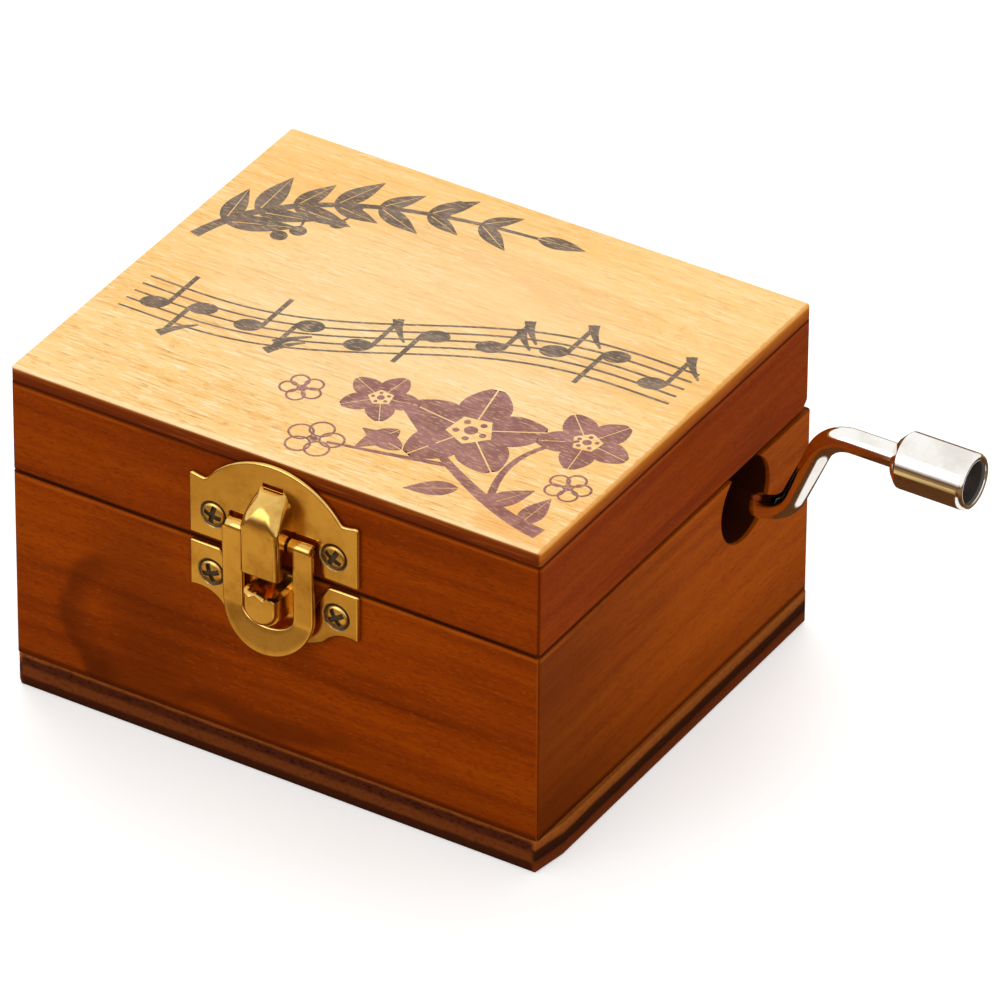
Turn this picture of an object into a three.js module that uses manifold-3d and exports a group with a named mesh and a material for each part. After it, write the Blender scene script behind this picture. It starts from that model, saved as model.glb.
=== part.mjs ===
// Hand-cranked music box: a small wooden case with a hinged lid, a brass latch and a bent crank.
// Millimetres. +X is to the right along the latch side, -Y is the latch side, +Z is up.
// The origin is the middle of the case's underside.
import * as THREE from "three";
import { mergeVertices } from "three/addons/utils/BufferGeometryUtils.js";
import Module from "manifold-3d";

const wasm = await Module();
wasm.setup();

// Case
const caseWidth = 64;
const caseDepth = 54;
const bodyHeight = 27;
const seamGap = 0.3;
const lidHeight = 12.7;
const wallThickness = 4.6;
const basePanelThickness = 4.1;
const basePanelRound = 0.35;
const basePanelCorner = 0.5;
const basePanelLip = 0.5;
const basePanelLipRun = 4.4;
const bodyFlare = 0.35;
const lidPanelThickness = 1.8;
const cornerEase = 0.3;
const lidBackChamfer = 1.2;

// Running gaps, and how far a cut runs past what it cuts
const runningGap = 0.15;
const seatGap = 0.3;
const overrun = 0.5;

// Hinges
const hingeLength = 13;
const hingeFromSide = 15;
const hingeInset = 0.5;
const leafThickness = 0.5;
const leafWidth = 3.6;
const knuckleRadius = 0.95;
const knuckleBore = 0.5;
const hingePinRadius = 0.38;
const knuckleGap = 0.2;
const knuckleShare = 1 / 3;
const hingeScrewShare = 0.3;

// Flat-headed hinge screws
const hingeScrewHead = 0.95;
const hingeScrewHeadDepth = 0.55;
const hingeScrewShank = 0.45;
const hingeScrewLength = 4.2;

// Latch plates, measured from the seam's lower edge and the latch's middle line
const latchOffset = 0.45;
const latchPlateThickness = 0.6;
const upperPlateHalfWidth = 10.25;
const upperPlateFoot = 0.9;
const upperPlateTopMargin = 0.5;
const upperPlateArchRise = 4.3;
const upperPlateHornWidth = 2.1;
const upperPlateHornLip = 0.25;
const upperPadHalfGap = 6.1;
const barrelSlotTop = 5.2;
const lowerPlateHalfWidth = 10.25;
const lowerPlateDrop = 5.7;
const lowerPlateDepth = 8.5;
const lowerPadHalfGap = 6.6;
const lowerPadWaist = 5.45;
const lowerNotchDepth = 5.7;
const lowerWebHalfWidth = 4.1;
const lowerShoulderShare = 1.5;
const lowerShoulderDropShare = 0.83;
const scallopRise = 0.6;
const slotWidth = 2.5;
const slotHeight = 0.5;

// Screw heads and tips, as shares of the head or shank
const crownShare = 0.55;
const crownDropShare = 0.55;
const tipShare = 0.3;
const crossShare = 0.62;
const crossWidthShare = 0.24;
const crossDepthShare = 0.7;

// Round-headed latch screws
const latchScrewHead = 1.35;
const latchScrewHeadHeight = 0.55;
const latchScrewShank = 0.6;
const latchScrewLength = 4;
const dimpleRadius = 1.6;
const dimpleDepth = 0.25;
const upperScrewX = 7.3;
const upperScrewZ = 4;
const lowerScrewX = 7.6;
const lowerScrewZ = 3.3;

// Nose of the upper plate, which carries the hasp's pin
const noseHalfWidth = 2.3;
const noseReach = 3.6;
const noseBottom = 0.5;
const noseShoulder = 6.2;
const noseTop = 9.7;
const noseWall = 0.6;
const noseCrownShare = 1;

// Hasp and its pin
const haspPinOut = 1.05;
const haspPinUp = 4.05;
const haspPinRadius = 0.36;
const barrelRadius = 0.9;
const barrelBore = 0.48;
const barrelHalfLength = 5.15;
const haspThickness = 0.6;
const haspHalfWidth = 5.5;
const haspWindowHalfWidth = 3.05;
const haspWindowBottom = 6.4;
const haspWindowRound = 1.6;
const haspTip = 9.55;
const haspRound = 5.4;
const haspBendDown = 5;
const haspBendOut = 1.75;
const haspTipOut = 2.85;

// Catch on the lower plate
const catchHalfWidth = 2.1;
const catchReach = 3.45;
const catchTop = 1.8;
const catchBottom = 6.15;
const catchFrontRise = 1.05;
const catchWall = 0.5;

// Crank and its shaft
const shaftBelowSeam = 4;
const shaftFromBackWall = 8.6;
const wireRadius = 1.32;
const crankLowerBendX = 36.9;
const crankThrowX = 5.1;
const crankThrowZ = 11.95;
const crankBendLength = 3.2;
const knobStart = 50.35;
const knobLength = 8.85;
const knobRadius = 3.1;
const knobShoulder = 0.9;
const knobShoulderFace = 2.2;
const knobRim = 0.4;
const knobRimShare = 0.35;
const knobHollowRadius = 2.6;
const knobHollowDepth = 3.2;
const peenRadius = 1.9;
const peenThickness = 0.7;
const crankHoleRadius = 4.9;

// Worm and wheel
const wheelTeeth = 20;
const wormPitchRadius = 2;
const wheelRoom = 1.95;
const wheelWidth = 3;
const backlash = 0.15;
const pressureAngle = Math.PI / 9;
const addendumShare = 0.75;
const dedendumShare = 1.1;
const wormTurns = 4;

// Worm shaft and its bearings
const shaftRadius = 1;
const collarRadius = 1.8;
const collarThickness = 1;
const hubRadius = 2.1;
const hubLength = 6.2;
const hubSocketDepth = 4.6;
const wheelFromWall = 21.4;
const bearingPlate = 1.6;
const wheelSideRoom = 0.95;
const bearingHalfWidth = 2.5;
const footThickness = 1.2;

// Bedplate
const bedThickness = 1.3;
const bedSideRoom = 4.9;
const bedCornerRadius = 2.5;
const bossRadius = 2.6;
const bossHeight = 3;
const bossInset = 3.6;

// Pinned cylinder
const cylinderRoomFront = 12.4;
const cylinderToWheel = 3.8;
const cylinderRoomBelow = 2.2;
const cylinderWall = 0.6;
const endCapThickness = 0.8;
const endCapSpigot = 1.2;
const arborRadius = 1;
const pinHeight = 0.9;
const pinRadius = 0.3;
const pinRoot = 0.3;
const pinTipShare = 0.7;
const notesPerTrack = 3;
const trackTurn = 2.4;
const trackShift = 0.2;
const frontBearingGap = 1.2;
const rearBearingGap = 1.1;

// Comb
const combTeeth = 18;
const combThickness = 1;
const combSlot = 0.26;
const combTipGap = 0.3;
const ledgeWidth = 4.9;
const ledgeMargin = 1.5;
const combRootRoom = 0.3;
const shortestSlotShare = 0.54;
const combScrewShare = 0.33;
const combWeightTeeth = 6;
const combWeightDrop = 1.8;
const combWeightLength = 3;

// Machine screws of the movement
const machineHead = 1.4;
const machineHeadHeight = 0.9;
const machineShank = 0.7;
const machineLength = 2.6;
const machineSlotWidth = 0.4;
const machineSlotDepth = 0.45;
const footEar = 3.6;
const mountHead = 1.9;
const mountHeadHeight = 1.1;
const mountShank = 0.9;
const mountHeadDepth = 1.3;

// Sides of round pieces
const fineSides = 36;
const plainSides = 16;
const smallSides = 12;
const threadSides = 12;
const knuckleSides = 16;
const pinSides = 4;
const cornerSides = 4;
const archSteps = 10;
const catchSteps = 8;
const edgeSteps = 6;
const wireSteps = 30;

// Places worked out from the sizes above
const halfWidth = caseWidth / 2;
const halfDepth = caseDepth / 2;
const innerHalfWidth = halfWidth - wallThickness;
const innerHalfDepth = halfDepth - wallThickness;
const lidBottom = bodyHeight + seamGap;
const caseTop = lidBottom + lidHeight;
const lidPanelBottom = caseTop - lidPanelThickness;
const hingeAxis = { y: halfDepth - hingeInset, z: bodyHeight + seamGap / 2 };
const shaftAxis = { y: innerHalfDepth - shaftFromBackWall, z: bodyHeight - shaftBelowSeam };
const bedTop = basePanelThickness + bedThickness;
const footTop = bedTop + footThickness;
const wheelX = innerHalfWidth - wheelFromWall;
const toothSpan = shaftAxis.z - footTop - wheelRoom - wormPitchRadius;
const wheelPitchRadius = toothSpan / (2 + (2 * addendumShare) / wheelTeeth);
const toothModule = (2 * wheelPitchRadius) / wheelTeeth;
const addendum = addendumShare * toothModule;
const dedendum = dedendumShare * toothModule;
const arborZ = shaftAxis.z - wormPitchRadius - wheelPitchRadius;
const bearingHalfSpan = wheelPitchRadius + addendum + wheelSideRoom;
const cylinderRadius = arborZ - bedTop - cylinderRoomBelow - pinHeight;
const cylinderBack = shaftAxis.y - cylinderToWheel;
const cylinderFront = cylinderRoomFront - innerHalfDepth;
const cylinderLength = cylinderBack - cylinderFront;
const frontBearingY = cylinderFront - endCapThickness - frontBearingGap;
const rearBearingY = shaftAxis.y + wheelWidth / 2 + rearBearingGap;
const combPitch = cylinderLength / (combTeeth + 1);
const combTipX = wheelX - cylinderRadius - pinHeight - combTipGap;
const bedLeft = bedSideRoom - innerHalfWidth;
const bedRight = innerHalfWidth - bedSideRoom - seatGap;
const bedFront = bedSideRoom - innerHalfDepth;
const bedBack = innerHalfDepth - bedSideRoom + seatGap + bearingPlate;
const ledgeRight = bedLeft + ledgeWidth;
const ledgeTop = arborZ - combThickness / 2;
const latchPlace = new THREE.Vector3(latchOffset, -halfDepth, bodyHeight);

// Finishes
function finish(color, roughness, metalness) {
  return () => new THREE.MeshStandardMaterial({ color, roughness, metalness });
}
const stainedWood = finish(0xa8561c, 0.45, 0);
const goldenWood = finish(0xdca352, 0.45, 0);
const plywood = finish(0x9a5a28, 0.55, 0);
const brass = finish(0xd0a040, 0.28, 1);
const nickel = finish(0xcfc8bc, 0.18, 1);
const steel = finish(0x9a9c9e, 0.35, 1);
const castZinc = finish(0x8c8d8c, 0.5, 1);
const darkPlastic = finish(0x2c2a2a, 0.5, 0);

// A closed geometry as a solid that can be joined and cut.
function solid(geometry) {
  const bare = geometry.clone();
  bare.deleteAttribute("normal");
  bare.deleteAttribute("uv");
  const merged = mergeVertices(bare);
  return new wasm.Manifold(
    new wasm.Mesh({
      numProp: 3,
      vertProperties: merged.attributes.position.array,
      triVerts: new Uint32Array(merged.index.array),
    }),
  );
}

// A named mesh of a solid, put into its group.
function piece(group, name, body, material) {
  const mesh = body.getMesh();
  const geometry = new THREE.BufferGeometry();
  geometry.setAttribute("position", new THREE.BufferAttribute(mesh.vertProperties, 3));
  geometry.setIndex(new THREE.BufferAttribute(mesh.triVerts, 1));
  geometry.computeVertexNormals();
  const made = new THREE.Mesh(geometry, material());
  made.name = name;
  group.add(made);
  return made;
}

function joined(...bodies) {
  return bodies.reduce((whole, body) => whole.add(body));
}

function cut(body, ...cutters) {
  return cutters.reduce((whole, cutter) => whole.subtract(cutter), body);
}

function block(x, y, z) {
  const geometry = new THREE.BoxGeometry(x[1] - x[0], y[1] - y[0], z[1] - z[0]);
  geometry.translate((x[0] + x[1]) / 2, (y[0] + y[1]) / 2, (z[0] + z[1]) / 2);
  return solid(geometry);
}

// Lays a geometry that was drawn along +Y along another axis, its middle line at (u, v).
function layAlong(geometry, axis, u, v) {
  if (axis === "x") return geometry.rotateZ(-Math.PI / 2).translate(0, u, v);
  if (axis === "y") return geometry.translate(u, 0, v);
  return geometry.rotateX(Math.PI / 2).translate(u, v, 0);
}

function rod(axis, span, [u, v], radius, sides = plainSides) {
  const geometry = new THREE.CylinderGeometry(radius, radius, span[1] - span[0], sides);
  geometry.translate(0, (span[0] + span[1]) / 2, 0);
  return solid(layAlong(geometry, axis, u, v));
}

// A profile of [radius, height] points turned about an axis.
function turned(axis, profile, [u, v], sides = plainSides) {
  const points = profile.map(([r, h]) => new THREE.Vector2(r, h));
  return solid(layAlong(new THREE.LatheGeometry(points, sides), axis, u, v));
}

// An outline drawn in the plane across an axis and drawn out along that axis.
// Across x the outline holds (y, z), across y it holds (x, z), across z it holds (x, y).
function prism(axis, outline, span, curveSegments = smallSides) {
  const isDrawn = outline instanceof THREE.Shape;
  const shape = isDrawn ? outline : new THREE.Shape(outline.map(([u, v]) => new THREE.Vector2(u, v)));
  const depth = span[1] - span[0];
  const geometry = new THREE.ExtrudeGeometry(shape, { depth, bevelEnabled: false, curveSegments });
  if (axis === "x") {
    geometry.translate(0, 0, span[0]);
    const turn = new THREE.Matrix4().makeBasis(yAxis, zAxis, xAxis);
    return solid(geometry.applyMatrix4(turn));
  }
  if (axis === "y") return solid(geometry.translate(0, 0, -span[1]).rotateX(Math.PI / 2));
  return solid(geometry.translate(0, 0, span[0]));
}

// A skin over rings of equal counts of points, closed at both ends.
function skinned(rings) {
  const count = rings[0].length;
  const positions = rings.flat().flatMap((p) => [p.x, p.y, p.z]);
  const faces = [];
  for (let ring = 0; ring + 1 < rings.length; ring += 1) {
    for (let k = 0; k < count; k += 1) {
      const a = ring * count + k;
      const b = ring * count + ((k + 1) % count);
      faces.push(a, b, b + count, a, b + count, a + count);
    }
  }
  const last = (rings.length - 1) * count;
  for (let k = 1; k + 1 < count; k += 1) {
    faces.push(0, k + 1, k);
    faces.push(last, last + k, last + k + 1);
  }
  const geometry = new THREE.BufferGeometry();
  geometry.setAttribute("position", new THREE.Float32BufferAttribute(positions, 3));
  geometry.setIndex(faces);
  return solid(geometry);
}

const xAxis = new THREE.Vector3(1, 0, 0);
const yAxis = new THREE.Vector3(0, 1, 0);
const zAxis = new THREE.Vector3(0, 0, 1);

// Bodies that move as one, each a group
const musicBox = new THREE.Group();
const fixed = new THREE.Group();
const lid = new THREE.Group();
const lidLatch = new THREE.Group();
const boxLatch = new THREE.Group();
lidLatch.position.copy(latchPlace);
boxLatch.position.copy(latchPlace);
fixed.add(boxLatch);
lid.add(lidLatch);
musicBox.add(fixed, lid);

// One board of a mitred frame, seen from above, as if on the latch side.
function boardOutline(halfAlong, halfAcross) {
  const ease = cornerEase;
  const inside = wallThickness;
  return [
    [-halfAlong + ease, -halfAcross],
    [halfAlong - ease, -halfAcross],
    [halfAlong - ease / 2, -halfAcross + ease / 2],
    [halfAlong - inside, -halfAcross + inside],
    [-halfAlong + inside, -halfAcross + inside],
    [-halfAlong + ease / 2, -halfAcross + ease / 2],
  ];
}

// The box is a little out of square: on the crank's side it grows wider towards the hinges.
function flared([x, y]) {
  const share = (y + halfDepth) / (halfDepth + halfDepth);
  return x > 0 ? [x + bodyFlare * share, y] : [x, y];
}

// Four boards mitred at the corners, each turned to its own side and moved by the given rule.
function mitredFrame(span, rule) {
  const long = boardOutline(halfWidth, halfDepth);
  const short = boardOutline(halfDepth, halfWidth);
  return {
    front: prism("z", long.map(rule), span),
    back: prism("z", long.map(([u, v]) => rule([-u, -v])), span),
    right: prism("z", short.map(([u, v]) => rule([-v, u])), span),
    left: prism("z", short.map(([u, v]) => rule([v, -u])), span),
  };
}

const onAxis = [0, 0];

// A round-headed or flat-headed screw, its head's top at height 0 and its shank pointing down.
function screwProfile(head, headHeight, shank, length, flat, extra = 0) {
  const neck = flat ? [[head + extra, -extra]] : [[head + extra, -headHeight - extra]];
  const crown = flat ? [[head + extra, 0]] : [[head * crownShare, 0], [head, -headHeight * crownDropShare]];
  if (extra > 0) {
    return [
      [0, -length - extra],
      [shank + extra, -length - extra],
      [shank + extra, -headHeight],
      ...neck,
      [head + extra, overrun],
      [0, overrun],
    ];
  }
  return [
    [0, -length],
    [shank * tipShare, -length],
    [shank, -length + shank],
    [shank, -headHeight],
    ...neck,
    ...crown.reverse(),
    [0, 0],
  ];
}

// The crossed recess in a screw's head.
function crossRecess(head, headHeight) {
  const reach = head * crossShare;
  const half = (head * crossWidthShare) / 2;
  const depth = [-headHeight * crossDepthShare, overrun];
  return joined(block([-reach, reach], [-half, half], depth), block([-half, half], [-reach, reach], depth));
}

function slottedRecess(head) {
  const half = machineSlotWidth / 2;
  return block([-head - overrun, head + overrun], [-half, half], [-machineSlotDepth, overrun]);
}

// Turns a solid that points up +Z to point another way, and puts it in place.
function placed(body, direction, place) {
  const turns = { up: [0, 0, 0], down: [180, 0, 0], front: [90, 0, 0] };
  return body.rotate(turns[direction]).translate(place);
}

function hingeScrew() {
  const sizes = [hingeScrewHead, hingeScrewHeadDepth, hingeScrewShank, hingeScrewLength];
  const body = turned("z", screwProfile(...sizes, true), onAxis, smallSides);
  return cut(body, crossRecess(hingeScrewHead, hingeScrewHeadDepth));
}

function hingeScrewSpace() {
  const sizes = [hingeScrewHead, hingeScrewHeadDepth, hingeScrewShank, hingeScrewLength];
  return turned("z", screwProfile(...sizes, true, runningGap), onAxis, smallSides);
}

function latchScrew() {
  const sizes = [latchScrewHead, latchScrewHeadHeight, latchScrewShank, latchScrewLength];
  const body = turned("z", screwProfile(...sizes, false), onAxis, plainSides);
  return cut(body, crossRecess(latchScrewHead, latchScrewHeadHeight));
}

function latchScrewHole() {
  const span = [-latchScrewLength - runningGap, overrun];
  return rod("z", span, onAxis, latchScrewShank + runningGap, smallSides);
}

function machineScrew() {
  const sizes = [machineHead, machineHeadHeight, machineShank, machineLength];
  const body = turned("z", screwProfile(...sizes, false), onAxis, smallSides);
  return cut(body, slottedRecess(machineHead));
}

function machineScrewHole() {
  return rod("z", [-machineLength - runningGap, overrun], onAxis, machineShank + runningGap, smallSides);
}

// Hinges: places of the screws, from the hinge's middle
const hingeCentres = { left: hingeFromSide - halfWidth, right: halfWidth - hingeFromSide };
const hingeScrewXs = [-hingeLength * hingeScrewShare, hingeLength * hingeScrewShare];
const leafBack = hingeAxis.y - knuckleRadius - knuckleGap;
const leafFront = hingeAxis.y - knuckleRadius - leafWidth;
const hingeScrewY = (leafBack + leafFront) / 2;

function hingeScrewPlaces(centreX, height) {
  return hingeScrewXs.map((dx) => [centreX + dx, hingeScrewY, height]);
}

function hingeScrewSpaces(centreX, direction, height) {
  return hingeScrewPlaces(centreX, height).map((at) => placed(hingeScrewSpace(), direction, at));
}

// The wood cut away for one hinge's leaf, its knuckles and its screws.
function hingeSpace(centreX, leafSpan, screwDirection, screwHeight) {
  const half = hingeLength / 2 + runningGap;
  const across = [centreX - half, centreX + half];
  const room = knuckleRadius + seatGap;
  return joined(
    block(across, [leafFront - runningGap, hingeAxis.y], leafSpan),
    rod("x", across, [hingeAxis.y, hingeAxis.z], room, knuckleSides),
    block(across, [hingeAxis.y, halfDepth + overrun], [hingeAxis.z - room, hingeAxis.z + room]),
    ...hingeScrewSpaces(centreX, screwDirection, screwHeight),
  );
}

const boxLeafSpan = [bodyHeight - leafThickness, bodyHeight];
const lidLeafSpan = [lidBottom, lidBottom + leafThickness];

// One leaf with its knuckles round the pin: the outer two, or the middle one.
function hingeLeaf(centreX, leafSpan, middle, screwDirection, screwHeight) {
  const half = hingeLength / 2;
  const third = hingeLength * knuckleShare;
  const spans = middle
    ? [[centreX - third / 2 + knuckleGap / 2, centreX + third / 2 - knuckleGap / 2]]
    : [
        [centreX - half, centreX - third / 2 - knuckleGap / 2],
        [centreX + third / 2 + knuckleGap / 2, centreX + half],
      ];
  const knuckles = spans.flatMap((span) => [
    rod("x", span, [hingeAxis.y, hingeAxis.z], knuckleRadius, knuckleSides),
    block(span, [leafBack - overrun, hingeAxis.y], leafSpan),
  ]);
  const sheet = block([centreX - half, centreX + half], [leafFront, leafBack], leafSpan);
  const boreSpan = [centreX - half - overrun, centreX + half + overrun];
  const bore = rod("x", boreSpan, [hingeAxis.y, hingeAxis.z], knuckleBore, smallSides);
  const screws = hingeScrewSpaces(centreX, screwDirection, screwHeight);
  return cut(joined(sheet, ...knuckles), bore, ...screws);
}

function makeHinges() {
  for (const [side, centreX] of Object.entries(hingeCentres)) {
    const name = `hinge_${side}`;
    const half = hingeLength / 2;
    piece(fixed, `${name}_box_leaf`, hingeLeaf(centreX, boxLeafSpan, false, "up", bodyHeight), brass);
    piece(lid, `${name}_lid_leaf`, hingeLeaf(centreX, lidLeafSpan, true, "down", lidBottom), brass);
    const pinSpan = [centreX - half, centreX + half];
    const pin = rod("x", pinSpan, [hingeAxis.y, hingeAxis.z], hingePinRadius, smallSides);
    piece(fixed, `${name}_pin`, pin, brass);
    hingeScrewPlaces(centreX, bodyHeight).forEach((at, n) => {
      piece(fixed, `${name}_box_screw_${n + 1}`, placed(hingeScrew(), "up", at), brass);
    });
    hingeScrewPlaces(centreX, lidBottom).forEach((at, n) => {
      piece(lid, `${name}_lid_screw_${n + 1}`, placed(hingeScrew(), "down", at), brass);
    });
  }
}

// The bedplate's three screws come up through the base panel.
const bossPlaces = [
  [bedLeft + bossInset, bedFront + bossInset],
  [bedLeft + bossInset, bedBack - bossInset],
  [bedRight - bossInset, (bedFront + bedBack) / 2 - bossRadius],
];
const mountScrewTop = bedTop + bossHeight - seatGap - runningGap;
const mountScrewFoot = basePanelThickness - mountHeadDepth;

// On the crank's side the base panel stands proud of the case, soon after the latch's corner.
function basePanel() {
  const round = basePanelRound;
  const corner = basePanelCorner;
  const right = halfWidth + basePanelLip;
  const corners = [
    [right, basePanelLipRun - halfDepth],
    [right, halfDepth - corner],
    [right - corner, halfDepth],
    [corner - halfWidth, halfDepth],
    [-halfWidth, halfDepth - corner],
    [-halfWidth, corner - halfDepth],
    [corner - halfWidth, -halfDepth],
    [halfWidth - corner / 2, -halfDepth],
  ];
  const outline = new THREE.Shape(corners.map(([u, v]) => new THREE.Vector2(u, v)));
  const rounded = new THREE.ExtrudeGeometry(outline, {
    depth: basePanelThickness - 2 * round,
    bevelThickness: round,
    bevelSize: round,
    bevelOffset: -round,
    bevelSegments: cornerSides,
    curveSegments: cornerSides,
  });
  rounded.translate(0, 0, round);
  const upper = prism("z", outline, [round, basePanelThickness], cornerSides);
  const holes = bossPlaces.flatMap((at) => [
    rod("z", [-overrun, basePanelThickness + overrun], at, mountShank + runningGap, smallSides),
    rod("z", [-overrun, mountScrewFoot], at, mountHead + seatGap, plainSides),
  ]);
  return cut(joined(solid(rounded), upper), ...holes);
}

function latchScrewPlaces(x, z) {
  return { left: [-x, 0, z], right: [x, 0, z] };
}
const upperScrewPlaces = latchScrewPlaces(upperScrewX, upperScrewZ);
const lowerScrewPlaces = latchScrewPlaces(lowerScrewX, -lowerScrewZ);
const latchScrewSeat = latchPlateThickness - dimpleDepth;

// The holes that the latch's screws need in the wood, in the case's own frame.
function latchHoles(places) {
  return Object.values(places).map(([x, , z]) => {
    const at = [latchPlace.x + x, latchPlace.y - latchScrewSeat - latchScrewHeadHeight, latchPlace.z + z];
    return placed(latchScrewHole(), "front", at);
  });
}

function makeCase() {
  piece(fixed, "base_panel", basePanel(), plywood);
  const walls = mitredFrame([basePanelThickness, bodyHeight], flared);
  const crankHole = rod(
    "x",
    [innerHalfWidth - overrun, halfWidth + bodyFlare + overrun],
    [shaftAxis.y, shaftAxis.z],
    crankHoleRadius,
    fineSides,
  );
  const boxHinges = Object.values(hingeCentres).map((x) => {
    return hingeSpace(x, [bodyHeight - leafThickness, bodyHeight + overrun], "up", bodyHeight);
  });
  piece(fixed, "front_wall", cut(walls.front, ...latchHoles(lowerScrewPlaces)), stainedWood);
  piece(fixed, "back_wall", cut(walls.back, ...boxHinges), stainedWood);
  piece(fixed, "left_wall", walls.left, stainedWood);
  piece(fixed, "right_wall", cut(walls.right, crankHole), stainedWood);
}

function makeLid() {
  const rails = mitredFrame([lidBottom, lidPanelBottom], (point) => point);
  const chamfer = lidBackChamfer;
  const wedge = [
    [halfDepth - chamfer - overrun, lidBottom - overrun],
    [halfDepth + overrun, lidBottom - overrun],
    [halfDepth + overrun, lidBottom + chamfer + overrun],
  ];
  const chamferCut = prism("x", wedge, [-halfWidth - overrun, halfWidth + overrun]);
  const lidHinges = Object.values(hingeCentres).map((x) => {
    return hingeSpace(x, [lidBottom - overrun, lidBottom + leafThickness], "down", lidBottom);
  });
  piece(lid, "lid_front_rail", cut(rails.front, ...latchHoles(upperScrewPlaces)), stainedWood);
  piece(lid, "lid_back_rail", cut(rails.back, chamferCut, ...lidHinges), stainedWood);
  piece(lid, "lid_left_rail", cut(rails.left, chamferCut), stainedWood);
  piece(lid, "lid_right_rail", cut(rails.right, chamferCut), stainedWood);
  const ease = cornerEase;
  const corners = [
    [halfWidth - ease, halfDepth],
    [ease - halfWidth, halfDepth],
    [-halfWidth, halfDepth - ease],
    [-halfWidth, ease - halfDepth],
    [ease - halfWidth, -halfDepth],
    [halfWidth - ease, -halfDepth],
    [halfWidth, ease - halfDepth],
    [halfWidth, halfDepth - ease],
  ];
  piece(lid, "lid_panel", prism("z", corners, [lidPanelBottom, caseTop]), goldenWood);
}

// A latch outline from one half drawn on the front face: x from the middle line, y up from the seam.
function mirrored(draw) {
  const half = draw(1);
  const other = draw(-1).reverse();
  return [...half, ...other];
}

// Points along a curved edge that leaves and meets its neighbours towards the control point.
function edgeCurve(from, control, to) {
  const curve = new THREE.QuadraticBezierCurve(
    new THREE.Vector2(...from),
    new THREE.Vector2(...control),
    new THREE.Vector2(...to),
  );
  return curve.getPoints(edgeSteps).map((p) => [p.x, p.y]);
}

const upperPlateTop = lidBottom + lidHeight - upperPlateTopMargin - bodyHeight;
const archHalf = upperPlateHalfWidth - upperPlateHornWidth;
const hornHeight = upperPlateTop - upperPlateArchRise;
const padWaist = barrelHalfLength + runningGap;

function upperPlateOutline(side) {
  const half = upperPlateHalfWidth;
  const archRadius = (archHalf ** 2 + upperPlateArchRise ** 2) / (2 * upperPlateArchRise);
  const archAngle = Math.asin(archHalf / archRadius);
  const arch = Array.from({ length: archSteps + 1 }, (_, k) => {
    const angle = (archAngle * k) / archSteps;
    const x = archRadius * Math.sin(angle);
    return [side * x, upperPlateTop - archRadius * (1 - Math.cos(angle))];
  });
  const pad = edgeCurve(
    [side * upperPadHalfGap, upperPlateFoot],
    [side * padWaist, (upperPlateFoot + upperScrewZ) / 2],
    [side * padWaist, barrelSlotTop],
  );
  return [
    ...arch,
    [side * (half - upperPlateHornLip), hornHeight + upperPlateHornLip],
    [side * half, hornHeight],
    [side * half, upperPlateFoot],
    ...pad,
  ];
}

function lowerPlateOutline(side) {
  const half = lowerPlateHalfWidth;
  const shoulder = [side * lowerWebHalfWidth * lowerShoulderShare, -lowerPlateDepth * lowerShoulderDropShare];
  const scallop = edgeCurve(
    [side * half, -lowerPlateDrop],
    [side * lowerScrewX, -lowerPlateDrop + scallopRise],
    shoulder,
  );
  const foot = edgeCurve(shoulder, [side * lowerWebHalfWidth, -lowerPlateDepth], [0, -lowerPlateDepth]);
  const pad = edgeCurve(
    [side * lowerWebHalfWidth, -lowerNotchDepth],
    [side * (2 * lowerPadWaist - lowerPadHalfGap), -lowerScrewZ],
    [side * lowerPadHalfGap, 0],
  );
  return [[side * lowerWebHalfWidth, 0], ...pad, [side * half, 0], ...scallop, ...foot.slice(1)];
}

function plateSolid(outline, thickness) {
  return prism("y", outline, [-thickness, 0]);
}

function latchDimples(places) {
  return Object.values(places).flatMap(([x, , z]) => [
    rod("y", [-latchPlateThickness - overrun, -latchScrewSeat], [x, z], dimpleRadius),
    rod("y", [-latchPlateThickness - overrun, overrun], [x, z], latchScrewShank + runningGap, smallSides),
  ]);
}

// The side view of the nose: (y, z) with the wall's face at 0 and the front at -reach.
function noseProfile(inset) {
  const reach = noseReach - inset;
  const top = noseTop - inset;
  const back = inset > 0 ? overrun : 0;
  const bottom = inset > 0 ? noseBottom - overrun : noseBottom;
  const crown = edgeCurve([-reach, noseShoulder - inset], [-reach * noseCrownShare, top], [back, top]);
  return [[back, bottom], [-reach, bottom], ...crown].reverse();
}

function upperPlate() {
  const outline = mirrored(upperPlateOutline).filter(uniquePoint);
  const sheet = plateSolid(outline, latchPlateThickness);
  const nose = prism("x", noseProfile(0), [-noseHalfWidth, noseHalfWidth]);
  const inner = noseHalfWidth - noseWall;
  const hollow = prism("x", noseProfile(noseWall), [-inner, inner]);
  const slot = block(
    [-slotWidth / 2, slotWidth / 2],
    [-latchPlateThickness - overrun, overrun],
    [noseTop, noseTop + slotHeight],
  );
  const pinHole = rod(
    "x",
    [-noseHalfWidth - overrun, noseHalfWidth + overrun],
    [-haspPinOut, haspPinUp],
    haspPinRadius + runningGap,
    smallSides,
  );
  return cut(joined(sheet, nose), hollow, slot, pinHole, ...latchDimples(upperScrewPlaces));
}

function uniquePoint([x, y], index, all) {
  const [lastX, lastY] = all[(index + all.length - 1) % all.length];
  return Math.hypot(x - lastX, y - lastY) > runningGap / 10;
}

// A U-shaped ring of the catch at one distance from the wall.
function catchRing(out, halfWidthHere, bottom, top) {
  const points = [new THREE.Vector3(halfWidthHere, -out, top), new THREE.Vector3(-halfWidthHere, -out, top)];
  for (let k = 0; k <= catchSteps; k += 1) {
    const angle = Math.PI + (Math.PI * k) / catchSteps;
    const x = halfWidthHere * Math.cos(angle);
    const z = bottom + halfWidthHere + halfWidthHere * Math.sin(angle);
    points.push(new THREE.Vector3(x, -out, z));
  }
  return points;
}

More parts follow.
